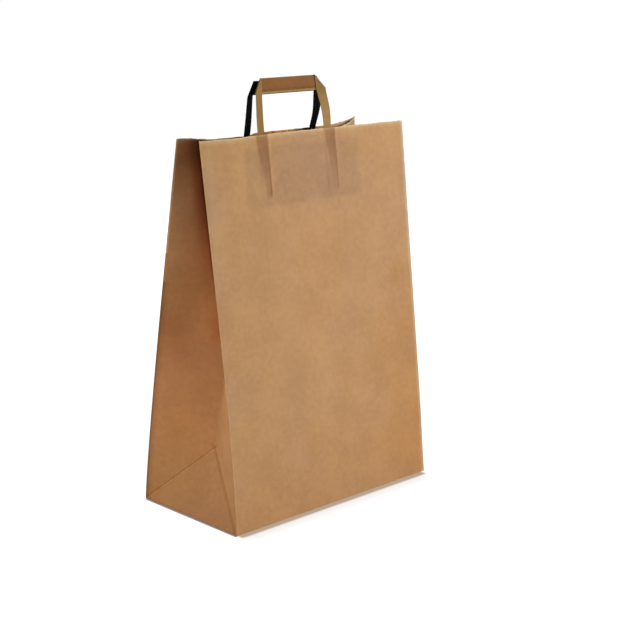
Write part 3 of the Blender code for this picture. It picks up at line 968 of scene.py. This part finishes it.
class SheetFolder:
    """Folds the bag's sheet, section by section, into one mesh."""
    PANEL_STEP = 0.0021        # from column to column on the front panel
    REAR_STEP = 0.0032
    GUSSET_STEP = 0.0030
    TRIANGLE_COLUMNS = 25
    TRIANGLE_HOLD, TRIANGLE_FREEDOM = 0.3, 0.6   # its slanting creases hold a share of its width
    PRESS_DEPTH = 0.00055      # a leg presses its panel outwards this far
    RIM_RUN, BASE_RUN = 0.0012, 0.002    # the rim's painted highlight and the base fold's wear reach this far
    # Strengths of the rim's painted highlight and of the base fold's wear
    RIM_WEAR, BASE_WEAR = 0.8, 0.15
    REAR_EDGE_WEAR, MIDDLE_FOLD_WEAR = 0.3, 0.25
    # Distances from the sides and from the base over which the paper becomes free to buckle
    PANEL_HOLD, GUSSET_HOLD, BASE_HOLD = 0.040, 0.030, 0.035

    def __init__(self, form, bag, handles):
        self.form, self.bag, self.handles = form, bag, handles
        self.rows = share_rows(form, bag)[:, None]
        self.mesh = SheetMesh()

    def rim_field(self, rows):
        return np.clip(1 - (1 - rows) * self.bag.height / self.RIM_RUN, 0, 1)

    def base_field(self, rows):
        return np.clip(1 - rows * self.bag.height / self.BASE_RUN, 0, 1)

    def add(self, points, sheet_across, sheet_along, wear, free, rows):
        """Adds one section with its base fold, its rubbed folds, its painted rim highlight and its
        freedom to buckle.
        """
        shape = points.shape[:2]
        below = (len(BASE_TURN), shape[1])

        def grown(field, start=0.0):
            """A field of the section, with its values in the rows of the base fold first."""
            return np.concatenate((np.broadcast_to(start, below), np.broadcast_to(field, shape)))

        across = np.broadcast_to(sheet_across, shape)
        low = np.array([along for _, _, along in BASE_TURN])[:, None]
        paper = np.stack((grown(across, across[:1]), grown(sheet_along, low)), -1)
        rim = self.rim_field(rows)
        wear_and_rim_highlight = np.maximum(wear, self.BASE_WEAR * self.base_field(rows))
        # The rim's painted highlight goes into the same field as the folds' wear
        wear_and_rim_highlight = np.maximum(wear_and_rim_highlight, self.RIM_WEAR * rim)
        self.mesh.add_grid(turn_at_base(points, self.bag), paper,
                           wear=grown(wear_and_rim_highlight), free=grown(free), rim=grown(rim))

    def freedom(self, place_across, width, hold, rows):
        """1 where the paper is free to buckle, and 0 along its folds."""
        sides = smooth(np.minimum(place_across, width - place_across) / hold)
        return sides * smooth(rows * self.bag.height / self.BASE_HOLD)

    def add_front(self):
        bag = self.bag
        columns = creased_columns(bag.width, self.PANEL_STEP)[None, :]
        points = self.form.front(columns / bag.width, self.rows)
        press = panel_press(bag, self.handles, columns - bag.width / 2, self.rows,
                            self.handles.front_x)
        points[..., 1] -= self.PRESS_DEPTH * press
        self.add(points, columns, self.rows * bag.height, fold_wear(columns, bag.width),
                 self.freedom(columns, bag.width, self.PANEL_HOLD, self.rows), self.rows)

    def add_rear(self):
        bag = self.bag
        columns = creased_columns(bag.width, self.REAR_STEP)[None, ::-1]
        across = columns / bag.width
        points = self.form.rear(across, self.rows) + self.form.rear_dip(across, self.rows)
        press = panel_press(bag, self.handles, columns - bag.width / 2, self.rows,
                            self.handles.rear_x - bag.rear_shift)
        points[..., 1] += self.PRESS_DEPTH * press
        self.add(points, 2 * bag.width + bag.depth - columns, self.rows * bag.height,
                 fold_wear(columns, bag.width),
                 self.freedom(columns, bag.width, self.PANEL_HOLD, self.rows), self.rows)

    def add_gusset(self, wall, side, start, outwards):
        """Half a gusset. Start is its first edge on the flat sheet, read left to right."""
        form, bag = self.form, self.bag
        half = bag.depth / 2
        columns = creased_columns(half, self.GUSSET_STEP)[None, :]
        from_edge = columns if outwards else half - columns
        along = from_edge / half
        rows = self.rows
        points = form.half_gusset(wall, side, rows, along)
        reach = np.minimum(rows / form.tip, 1.0)
        inner_v = np.where(rows <= form.tip, half * reach,
                           half + (bag.height - half) * (rows - form.tip) / (1 - form.tip))
        edge_v = rows * bag.height
        sheet_along = edge_v * (1 - along) + inner_v * along
        offset = from_edge * reach
        sheet_across = start + (offset if outwards else half - offset)
        edge_wear = self.REAR_EDGE_WEAR if wall == form.rear else 1.0
        middle_wear = self.MIDDLE_FOLD_WEAR * (rows > form.tip)
        wear = np.maximum(edge_wear * worn_beside(from_edge),
                          middle_wear * worn_beside(half - from_edge))
        free = self.freedom(columns, half, self.GUSSET_HOLD, rows)
        self.add(points, sheet_across, sheet_along, wear, free, rows)

    def add_triangle(self, side):
        """The triangle that the base fold and the two slanting creases enclose."""
        form, bag = self.form, self.bag
        rows = self.rows[:np.count_nonzero(self.rows <= form.tip)]
        half = bag.depth / 2
        columns = np.linspace(0, 1, self.TRIANGLE_COLUMNS)[None, :]
        along = columns if side == RIGHT else 1 - columns
        points = form.triangle(side, rows, along)
        start = bag.width if side == RIGHT else 2 * bag.width + bag.depth
        reach = rows / form.tip
        sheet_across = start + half * reach + columns * (bag.depth - 2 * half * reach)
        sides = smooth(np.minimum(columns, 1 - columns) / self.TRIANGLE_HOLD)
        free = self.TRIANGLE_FREEDOM * sides * smooth(rows * 6)
        self.add(points, sheet_across, half * reach, 0.0, free, rows)

    def floor_layers(self):
        """The glued flaps: the rear flap lies lowest, then the front one, then the ends."""
        bag, paper = self.bag, self.bag.paper
        x, y = bag.width / 2 - 0.003, bag.depth / 2 - 0.003    # the flaps' outer edges
        end_x, end_y = x + 0.0012, y + 0.0012                  # the end flaps reach further out
        lap = 0.020                                            # past the middle of the base
        point = x - y - lap
        layers = (
            ((-x, y), (x, y), (point, -lap), (-point, -lap)),
            ((-x, -y), (x, -y), (point, lap), (-point, lap)),
            ((-end_x, -end_y), (end_x, -end_y), (end_x, end_y), (-end_x, end_y)),
        )
        return [(outline, k * paper, (k + 1) * paper) for k, outline in enumerate(layers)]

    def fold_all(self):
        form, bag = self.form, self.bag
        self.add_front()
        self.add_gusset(form.front, RIGHT, bag.width, True)
        self.add_gusset(form.rear, RIGHT, bag.width + bag.depth / 2, False)
        self.add_rear()
        self.add_gusset(form.rear, LEFT, 2 * bag.width + bag.depth, True)
        self.add_gusset(form.front, LEFT, 2 * bag.width + 1.5 * bag.depth, False)
        self.add_triangle(RIGHT)
        self.add_triangle(LEFT)
        return self.mesh.build("bag_paper")


def add_flat_layers(target, layers):
    """Joins flat layers of paper, each an outline between two heights, to the bag's mesh."""
    sheet_x, sheet_y = 0.2, -0.3   # where the layers' middle lies on the flat paper
    bm = bmesh.new()
    bm.from_mesh(target.data)
    paper = bm.loops.layers.uv[UV_NAME]
    for outline, low, high in layers:
        face = bm.faces.new([bm.verts.new((x, y, low)) for x, y in outline])
        raised = bmesh.ops.extrude_face_region(bm, geom=[face])
        tops = [item for item in raised["geom"] if isinstance(item, bmesh.types.BMVert)]
        bmesh.ops.translate(bm, verts=tops, vec=(0, 0, high - low))
        made = {f for v in tops for f in v.link_faces} | {face}
        bmesh.ops.recalc_face_normals(bm, faces=list(made))
        for item in made:
            for loop in item.loops:
                loop[paper].uv = (loop.vert.co.x + sheet_x, loop.vert.co.y + sheet_y)
    bm.to_mesh(target.data)
    bm.free()


# The handles


class StripForm:
    """A flat strip folded over at 45 degrees at both corners, its legs inside a panel."""
    BOW_AT, BOW_REACH = 0.36, 0.40   # the legs' bow: its middle and reach, as shares of the rise

    def __init__(self, form, bag, handles, wall, middle, rise, stand):
        self.form, self.bag, self.handles = form, bag, handles
        self.wall, self.middle, self.rise, self.stand = wall, middle, rise, stand
        self.outer = (handles.leg_spacing + handles.strip_width) / 2
        self.inner = (handles.leg_spacing - handles.strip_width) / 2
        self.near = bag.paper + GLUE + handles.strip_thickness / 2
        self.layer_step = handles.strip_thickness + GLUE

    def lift_at(self, across, up):
        """How far the strip stands off its panel's plane."""
        edges = (-self.outer, -self.inner, self.inner, self.outer)
        grown = smooth(np.asarray(up / self.rise))
        bowed = hump(np.asarray(up), self.BOW_AT * self.rise, self.BOW_REACH * self.rise)
        values = [rim + (top - rim) * grown + bow * bowed
                  for rim, bow, top in self.stand["lift"]]
        held = smooth(np.asarray(1 + up / self.handles.patch_drop))
        return held * float(np.interp(across, edges, values))

    def at(self, across, up, depth):
        """A point of the strip's middle plane, depth counted inwards from the leg's layer."""
        total = self.near + depth + self.lift_at(across, up)
        straight = 1 - np.clip(up / (self.rise - self.handles.strip_width), 0, 1)
        lean = self.stand["left_leg_lean"] * straight * (across < 0)
        up = up + self.stand["tilt"] * across * np.clip(up / self.rise, 0, None)
        return self.form.against(self.wall, np.asarray(self.middle + across + lean),
                                 np.asarray(up), np.asarray(total))

    def lip_out(self, across, depth):
        """How far the strip's last ply stands out below the grip."""
        on_grip = smooth((self.outer - abs(across)) / self.handles.strip_width)
        return self.stand["lip_out"] * on_grip * (depth >= self.layer_step)

    def stations(self):
        """Lines across the strip, as (edge, edge, length along), from end to end."""
        handles = self.handles
        low = self.rise - handles.strip_width
        heights = np.concatenate((
            np.linspace(-handles.leg_glued, -handles.patch_drop, 7)[:-1],
            np.linspace(-handles.patch_drop, 0.0, 7)[:-1],
            np.linspace(0.0, low, 15)))
        leg = [((-self.outer, up, 0.0), (-self.inner, up, 0.0)) for up in heights]
        for part in np.linspace(0, 1, 7)[1:]:
            leg.append(((-self.outer, low, 0.0),
                        (-self.inner, low + part * handles.strip_width, 0.0)))
        radius = self.layer_step / 2
        for angle in np.linspace(0, math.pi, 6)[1:]:
            out = radius * math.sin(angle) * math.sqrt(0.5)
            depth = radius * (1 - math.cos(angle))
            leg.append(((-self.outer - out, low + out, depth),
                        (-self.inner - out, self.rise + out, depth)))
        for part in np.linspace(0, 1, 7)[1:]:
            leg.append(((-self.outer + part * handles.strip_width, low, self.layer_step),
                        (-self.inner, self.rise, self.layer_step)))
        grip = [((x, low, self.layer_step), (x, self.rise, self.layer_step))
                for x in np.linspace(-self.inner, self.inner, 25)[1:-1]]
        right = [tuple((-x, up, depth) for x, up, depth in pair) for pair in reversed(leg)]
        return leg + grip + right


class StripBand:
    """The closed band round a strip: rounded edges, and a step where the last ply laps."""
    LAP = 0.0017               # width of the last ply's lip
    STEP = 0.00018             # the lip is thinner than the rest by this
    ROUND = 0.03               # share of the width over which an edge is rounded
    # The strip's edges are rubbed and painted lighter as a highlight, with this strength over this
    # share of the width
    EDGE_WEAR, EDGE_RUN = 0.6, 0.05
    GAP_RUN = 0.06             # share of the width beside the lip that is painted dark as shade
    HIGHLIGHT_RUN = 0.012           # the right leg's painted highlight fades over this length below the grip
    UNDER_ASIDE = 0.05         # the under face lies this far aside on the flat paper

    def __init__(self, strip):
        self.strip = strip
        self.width = strip.handles.strip_width
        self.lap = self.LAP / self.width
        self.shares = np.array((0.0, 0.02, 0.05, self.lap - 0.012, self.lap + 0.012,
                                self.lap + 0.055, 0.30, 0.42, 0.55, 0.68, 0.80, 0.93, 0.98, 1.0))
        self.stations = strip.stations()

    def round_trip(self, upper, under):
        """Values along the upper face, back along the under face, and at the start again."""
        return np.concatenate((upper, under, upper[:1]))

    def rings(self):
        """The band's points, station by station, and the length along the strip at each."""
        strip, shares = self.strip, self.shares
        first = np.array([strip.at(*start) for start, _ in self.stations])
        last = np.array([strip.at(*end) for _, end in self.stations])
        middle = (first + last) / 2
        across = last - first
        normal = np.cross(across, np.gradient(middle, axis=0))
        normal /= np.linalg.norm(normal, axis=1, keepdims=True)
        steps = np.linalg.norm(np.diff(middle, axis=0), axis=1)
        length = np.concatenate(((0.0,), np.cumsum(steps)))
        off_edge = np.clip(1 - np.minimum(shares, 1 - shares) / self.ROUND, 0, 1)
        rounded = np.sqrt(np.clip(1 - off_edge ** 2, 0.02, 1))
        half = strip.handles.strip_thickness / 2
        above = half * rounded
        below = -(half - self.STEP * (shares < self.lap)) * rounded
        out = np.array([strip.lip_out(x, depth) for (x, _, depth), _ in self.stations])
        opened = out / self.width
        spread = shares - opened[:, None] * np.clip(1 - shares / self.lap, 0, 1)
        on_line = first[:, None] + across[:, None] * spread[..., None]
        upper = on_line + normal[:, None] * above[:, None]
        under = on_line + normal[:, None] * below[:, None]
        ring = np.concatenate((upper, under[:, ::-1], upper[:, :1]), axis=1)
        return ring, length

    def fields(self):
        """Where the band's points lie across the flat paper, and what its material reads there."""
        strip = self.strip
        ring_share = self.round_trip(self.shares, self.shares[::-1])
        side = self.round_trip(np.zeros(len(self.shares)), np.ones(len(self.shares)))
        edge = np.clip(1 - np.minimum(ring_share, 1 - ring_share) / self.EDGE_RUN, 0, 1)
        beside = (ring_share > self.lap) & (ring_share < self.lap + self.GAP_RUN)
        low = strip.rise - self.width
        # The right leg below the grip is painted lighter, as a highlight
        below_grip = np.array([(x > 0) * smooth((low - up) / self.HIGHLIGHT_RUN)
                               for (x, up, _), _ in self.stations])
        sheet_across = ring_share * self.width + side * self.UNDER_ASIDE
        return sheet_across, {
            "wear": edge * self.EDGE_WEAR,
            "pale": below_grip[:, None] * strip.stand["right_leg_highlight"],
            "turned": side,
            "lip": side * ((ring_share < self.lap) - 1.0 * beside)}

    def build(self, name):
        ring, length = self.rings()
        sheet_across, fields = self.fields()
        paper = np.stack(np.broadcast_arrays(sheet_across[None, :], length[:, None]), -1)
        mesh = SheetMesh()
        mesh.add_grid(ring, paper, **fields)
        made = mesh.build(name)
        bm = bmesh.new()
        bm.from_mesh(made.data)
        bmesh.ops.holes_fill(bm, edges=[edge for edge in bm.edges if edge.is_boundary])
        bmesh.ops.recalc_face_normals(bm, faces=bm.faces)
        bm.to_mesh(made.data)
        bm.free()
        return made


def make_patch(form, bag, handles, wall, middle, name):
    """The patch glued over a handle's legs: flat on the panel, raised over each leg."""
    beside, slope = 0.0034, 0.0028   # the raised field ends this far past a leg, in this slope
    sheet_x, sheet_y = 0.2, 0.2      # where the patch's rim lies on the flat paper
    raised = handles.strip_thickness + GLUE
    near = bag.paper + GLUE + bag.paper / 2
    columns = np.linspace(handles.patch_shift - handles.patch_width / 2,
                          handles.patch_shift + handles.patch_width / 2, 181)
    rows = np.linspace(0, 1, 25)[:, None]
    from_leg = np.abs(np.abs(columns) - handles.leg_spacing / 2)
    height = raised * smooth((handles.strip_width / 2 + beside - from_leg) / slope)
    up = -handles.patch_drop - handles.patch_height * (1 - rows)
    x, up = np.broadcast_arrays(middle + columns[None, :], up)
    points = form.against(wall, x, up, near + np.broadcast_to(height, x.shape))
    mesh = SheetMesh()
    mesh.add_grid(points, np.stack((x + sheet_x, up + sheet_y), -1))
    return mesh.build(name)


# The operators


def shared_groups():
    """The shader node groups, built once and found again by name."""
    makers = (("paper_grain", make_grain_group), ("soft_box", make_soft_box_group),
              ("leg_shows_through", make_leg_shade_group), ("crease_line", make_crease_group))
    return [bpy.data.node_groups.get(name) or maker() for name, maker in makers]


class BAG_OT_fold_sheet(bpy.types.Operator):
    """Fold the bag's one sheet: two panels, two gussets and the block bottom."""
    bl_idname = "bag.fold_sheet"
    bl_label = "Fold the Sheet"

    FRAY = 0.0013              # the cut rim is ragged by up to this

    def execute(self, context):
        scene = context.scene
        bag, handles = scene.bag_sizes, scene.handle_sizes
        form = BagForm(bag)
        folder = SheetFolder(form, bag, handles)
        sheet = folder.fold_all()
        kraft = KraftSheet(shared_groups(), scene.paper_colours, bag, handles).finish()
        put_on_buckle(sheet, make_buckle_tree(), {
            "Depth": bag.buckle, "Size": bag.buckle_size, "Seed": float(bag.seed),
            "Rim": self.FRAY, "Paper": kraft})
        thicken(sheet, bag.paper, -1)
        settle(sheet, 50)
        add_flat_layers(sheet, folder.floor_layers())
        place(sheet, "bag_body", "kraft_paper")
        return {"FINISHED"}


class BAG_OT_fold_handles(bpy.types.Operator):
    """Fold both handles from flat strips, and glue their legs inside the panels."""
    bl_idname = "bag.fold_handles"
    bl_label = "Fold the Handles"

    # Lift: how far each edge stands off its panel's plane, at the rim, extra at half height
    # and at the top, from the left leg's outer edge to the right leg's outer edge
    FRONT_STAND = {
        "lift": ((0.0, 0.0, -0.005), (0.0080, 0.0, 0.004), (0.0, -0.0012, 0.009),
                 (0.0055, -0.0018, 0.010)),
        "left_leg_lean": 0.0012, "tilt": 0.0, "lip_out": 0.0007, "right_leg_highlight": 0.8}
    REAR_STAND = {
        "lift": ((0.0085, 0.0, 0.0062), (0.0, 0.0, -0.0048), (0.0075, 0.0024, 0.006),
                 (0.001, 0.0024, 0.003)),
        "left_leg_lean": 0.0, "tilt": 0.044, "lip_out": 0.0, "right_leg_highlight": 0.0}

    def execute(self, context):
        scene = context.scene
        bag, handles, colours = scene.bag_sizes, scene.handle_sizes, scene.paper_colours
        form = BagForm(bag)
        groups = shared_groups()
        # Painted shade: the strip's turned face, the front of the grip, is darker and redder
        brown = make_strip_material(groups, "kraft_strip", tuple(colours.strip), 1.3, 0.18, {
            "turned": (1.0, 0.70, 0.57), "wear": (1.30, 1.45, 1.70), "pale": (1.38, 1.46, 1.70),
            # Painted highlights on the brown strip's edges, lip and right leg, and painted shade
            # in the gap beside the lip
            "lip": (1.35, 2.05, 2.90), "gap": (0.80, 0.76, 0.62)})
        # The black strip's edges and lip are painted lighter as highlights, and the gap beside the
        # lip darker as shade
        black = make_strip_material(groups, "black_strip", tuple(colours.black), 2.1, 0.02, {
            "wear": (1.9, 1.9, 1.9), "lip": (1.9, 1.9, 1.9), "gap": (0.80, 0.76, 0.62)})
        jobs = (
            ("front_handle_strip", "front_handle", "handle_paper", brown, form.front,
             handles.front_x, handles.front_rise, self.FRONT_STAND),
            ("rear_handle_strip", "rear_handle", "black_paper", black, form.rear,
             handles.rear_x, handles.rear_rise, self.REAR_STAND),
        )
        for name, node, slot, material, wall, middle, rise, stand in jobs:
            strip = StripForm(form, bag, handles, wall, middle, rise, stand)
            made = StripBand(strip).build(name)
            made.data.materials.append(material)
            settle(made, 40)
            place(made, node, slot)
        return {"FINISHED"}


class BAG_OT_glue_patches(bpy.types.Operator):
    """Glue the two paper patches over the handles' legs, inside the panels."""
    bl_idname = "bag.glue_patches"
    bl_label = "Glue the Patches"

    def execute(self, context):
        scene = context.scene
        bag, handles = scene.bag_sizes, scene.handle_sizes
        form = BagForm(bag)
        backing = make_patch_material(shared_groups(), scene.paper_colours)
        for wall, middle, part in ((form.front, handles.front_x, "front"),
                                   (form.rear, handles.rear_x, "rear")):
            patch = make_patch(form, bag, handles, wall, middle, part + "_patch_sheet")
            patch.data.materials.append(backing)
            thicken(patch, bag.paper, 0)
            settle(patch, 50)
            place(patch, part + "_handle_patch", "patch_paper")
        return {"FINISHED"}


class BAG_OT_set_studio(bpy.types.Operator):
    """Set the pale floor, the soft lights and the camera."""
    bl_idname = "bag.set_studio"
    bl_label = "Set the Studio"

    CAMERA_AT = (-1.165375, -1.262778, 0.632603)
    CAMERA_AZIMUTH = -44.02
    CAMERA_ELEVATION = 13.723
    CAMERA_LENS = 81.15
    SENSOR = 36.0
    # Painted contact shadows, brown with the paper's painted reflection along the front, where the
    # floor darkens beside the bag: middle, half size, softness and colour
    PAINTED_FLOOR_SHADOWS = (((-0.004, -0.097), (0.152, 0.013), 0.012, (0.82, 0.80, 0.79)),
             ((-0.1605, -0.001), (0.0018, 0.085), 0.0014, (0.16, 0.12, 0.10)),
             ((-0.002, -0.0885), (0.1565, 0.0055), 0.0030, (0.36, 0.27, 0.18)))
    # The lights, by the name of their power's setting: place, aim, size, spread in degrees, colour
    LIGHTS = (
        ("key", (3.0, -2.0, 1.2), (0.0, 0.0, 0.22), 2.0, 180, (1.0, 1.0, 1.0)),
        ("front", (0.2, -1.8, 0.65), (0.0, 0.0, 0.22), 1.4, 180, (1.0, 1.0, 1.0)),
        ("low", (-0.50, -0.03, 0.10), (-0.14, 0.0, 0.10), 0.2, 120, (1.0, 0.86, 0.74)),
        ("middle", (-0.45, -0.02, 0.25), (-0.14, 0.0, 0.25), 0.15, 180, (1.0, 0.86, 0.74)),
        ("left_back", (-0.9, 1.5, 0.7), (0.0, 0.0, 0.22), 0.8, 180, (1.0, 0.93, 0.85)),
        ("right_back", (1.2, 1.7, 0.9), (0.0, 0.0, 0.22), 1.2, 180, (1.0, 1.0, 1.0)),
    )

    def execute(self, context):
        scene = context.scene
        studio = scene.studio_settings
        self.lay_floor(scene)
        self.light_room(scene, studio)
        for setting, at, aim, size, spread, colour in self.LIGHTS:
            light = self.add_light(scene, setting + "_light", at, aim)
            light.size = size
            light.spread = math.radians(spread)
            light.color = colour
            light.energy = getattr(studio, setting)
        self.set_camera(scene)
        scene.view_settings.view_transform = "Standard"
        scene.view_settings.look = "None"
        scene.view_settings.exposure = 0.0
        scene.view_settings.gamma = 1.0
        return {"FINISHED"}

    def lay_floor(self, scene):
        mesh = bpy.data.meshes.new("pale_floor")
        bm = bmesh.new()
        bmesh.ops.create_circle(bm, cap_ends=True, radius=60.0, segments=96)
        bm.to_mesh(mesh)
        bm.free()
        floor = bpy.data.objects.new("pale_floor", mesh)
        scene.collection.objects.link(floor)
        material = bpy.data.materials.new("pale_floor_paint")
        material.use_nodes = True
        tree = material.node_tree
        tree.nodes.clear()
        w = Wiring(tree)
        vector = w.node("ShaderNodeTexCoord").outputs["Object"]
        tone = w.blend(w.noise(vector, 30.0, detail=3.0), (0.80, 0.80, 0.80, 1.0),
                       (0.82, 0.82, 0.82, 1.0))
        plain = w.node("ShaderNodeBsdfDiffuse", {"Color": tone})
        seen = w.blend(1.0, tone, (0.25, 0.25, 0.25, 1.0), "MULTIPLY")
        shaded = w.node("ShaderNodeBsdfDiffuse", {"Color": seen})
        box_group = shared_groups()[1]
        seen_floor = (1.0, 1.0, 1.0, 1.0)
        for centre, half, soft, colour in self.PAINTED_FLOOR_SHADOWS:
            mask = place_group(w, box_group, {
                "Vector": vector, "Centre": (*centre, 0.0), "Half Size": (*half, 1.0),
                "Soft": soft})["Mask"]
            seen_floor = w.blend(mask, seen_floor, (*colour, 1.0))
        glow = w.node("ShaderNodeEmission", {"Strength": 1.0, "Color": seen_floor})
        both = w.node("ShaderNodeAddShader", {0: shaded.outputs[0], 1: glow.outputs[0]})
        ray = w.node("ShaderNodeLightPath").outputs["Is Camera Ray"]
        mixed = w.node("ShaderNodeMixShader", {0: ray, 1: plain.outputs[0], 2: both.outputs[0]})
        out = w.node("ShaderNodeOutputMaterial")
        w.feed(out.inputs["Surface"], mixed.outputs[0])
        mesh.materials.append(material)

    def light_room(self, scene, studio):
        world = bpy.data.worlds.new("studio_room")
        scene.world = world
        world.use_nodes = True
        w = Wiring(world.node_tree)
        back = world.node_tree.nodes["Background"]
        back.inputs["Color"].default_value = (1.0, 1.0, 1.0, 1.0)
        ray = w.node("ShaderNodeLightPath").outputs["Is Camera Ray"]
        strength = w.plus(w.times(ray, 1.0 - studio.sky), studio.sky)
        w.feed(back.inputs["Strength"], strength)

    def add_light(self, scene, name, at, aim):
        """A round light that shines at its aim and is itself not seen."""
        light = bpy.data.lights.new(name, "AREA")
        light.shape = "DISK"
        lamp = bpy.data.objects.new(name, light)
        lamp.visible_camera = False
        scene.collection.objects.link(lamp)
        lamp.location = at
        way = Vector(aim) - Vector(at)
        lamp.rotation_euler = way.to_track_quat("-Z", "Y").to_euler()
        return light

    def set_camera(self, scene):
        azimuth = math.radians(self.CAMERA_AZIMUTH)
        elevation = math.radians(self.CAMERA_ELEVATION)
        back = Vector((math.sin(azimuth) * math.cos(elevation),
                       -math.cos(azimuth) * math.cos(elevation), math.sin(elevation)))
        right = Vector((math.cos(azimuth), math.sin(azimuth), 0.0))
        up = back.cross(right)
        camera = bpy.data.cameras.new("photo_camera")
        camera.sensor_fit = "HORIZONTAL"
        camera.sensor_width = self.SENSOR
        camera.lens = self.CAMERA_LENS
        camera.clip_start = 0.05
        camera.clip_end = 200.0
        holder = bpy.data.objects.new("photo_camera", camera)
        scene.collection.objects.link(holder)
        turn = Matrix((right, up, back)).transposed()
        holder.matrix_world = Matrix.Translation(self.CAMERA_AT) @ turn.to_4x4()
        scene.camera = holder


class BAG_PT_sidebar(bpy.types.Panel):
    """Lists the steps that make the bag, with the sizes that they read."""
    bl_idname = "BAG_PT_sidebar"
    bl_label = "Paper Carrier Bag"
    bl_space_type = "VIEW_3D"
    bl_region_type = "UI"
    bl_category = "Carrier Bag"

    def draw(self, context):
        layout = self.layout
        for step in STEPS:
            layout.operator(step.bl_idname)
        for settings in (context.scene.bag_sizes, context.scene.handle_sizes,
                         context.scene.paper_colours, context.scene.studio_settings):
            column = layout.column(align=True)
            for name in settings.__annotations__:
                column.prop(settings, name)


SETTINGS = (("bag_sizes", BagSizes), ("handle_sizes", HandleSizes),
            ("paper_colours", PaperColours), ("studio_settings", StudioSettings))
STEPS = (BAG_OT_fold_sheet, BAG_OT_fold_handles, BAG_OT_glue_patches, BAG_OT_set_studio)


def register():
    for _, group in SETTINGS:
        bpy.utils.register_class(group)
    for step in STEPS:
        bpy.utils.register_class(step)
    bpy.utils.register_class(BAG_PT_sidebar)
    for name, group in SETTINGS:
        setattr(bpy.types.Scene, name, PointerProperty(type=group))


def unregister():
    for name, _ in reversed(SETTINGS):
        delattr(bpy.types.Scene, name)
    bpy.utils.unregister_class(BAG_PT_sidebar)
    for step in reversed(STEPS):
        bpy.utils.unregister_class(step)
    for _, group in reversed(SETTINGS):
        bpy.utils.unregister_class(group)


def plain(box):
    return [[float(value) for value in corner] for corner in box]


def main():
    register()
    bpy.ops.bag.fold_sheet()
    bpy.ops.bag.fold_handles()
    bpy.ops.bag.glue_patches()
    bpy.ops.bag.set_studio()


if __name__ == "__main__":
    main()
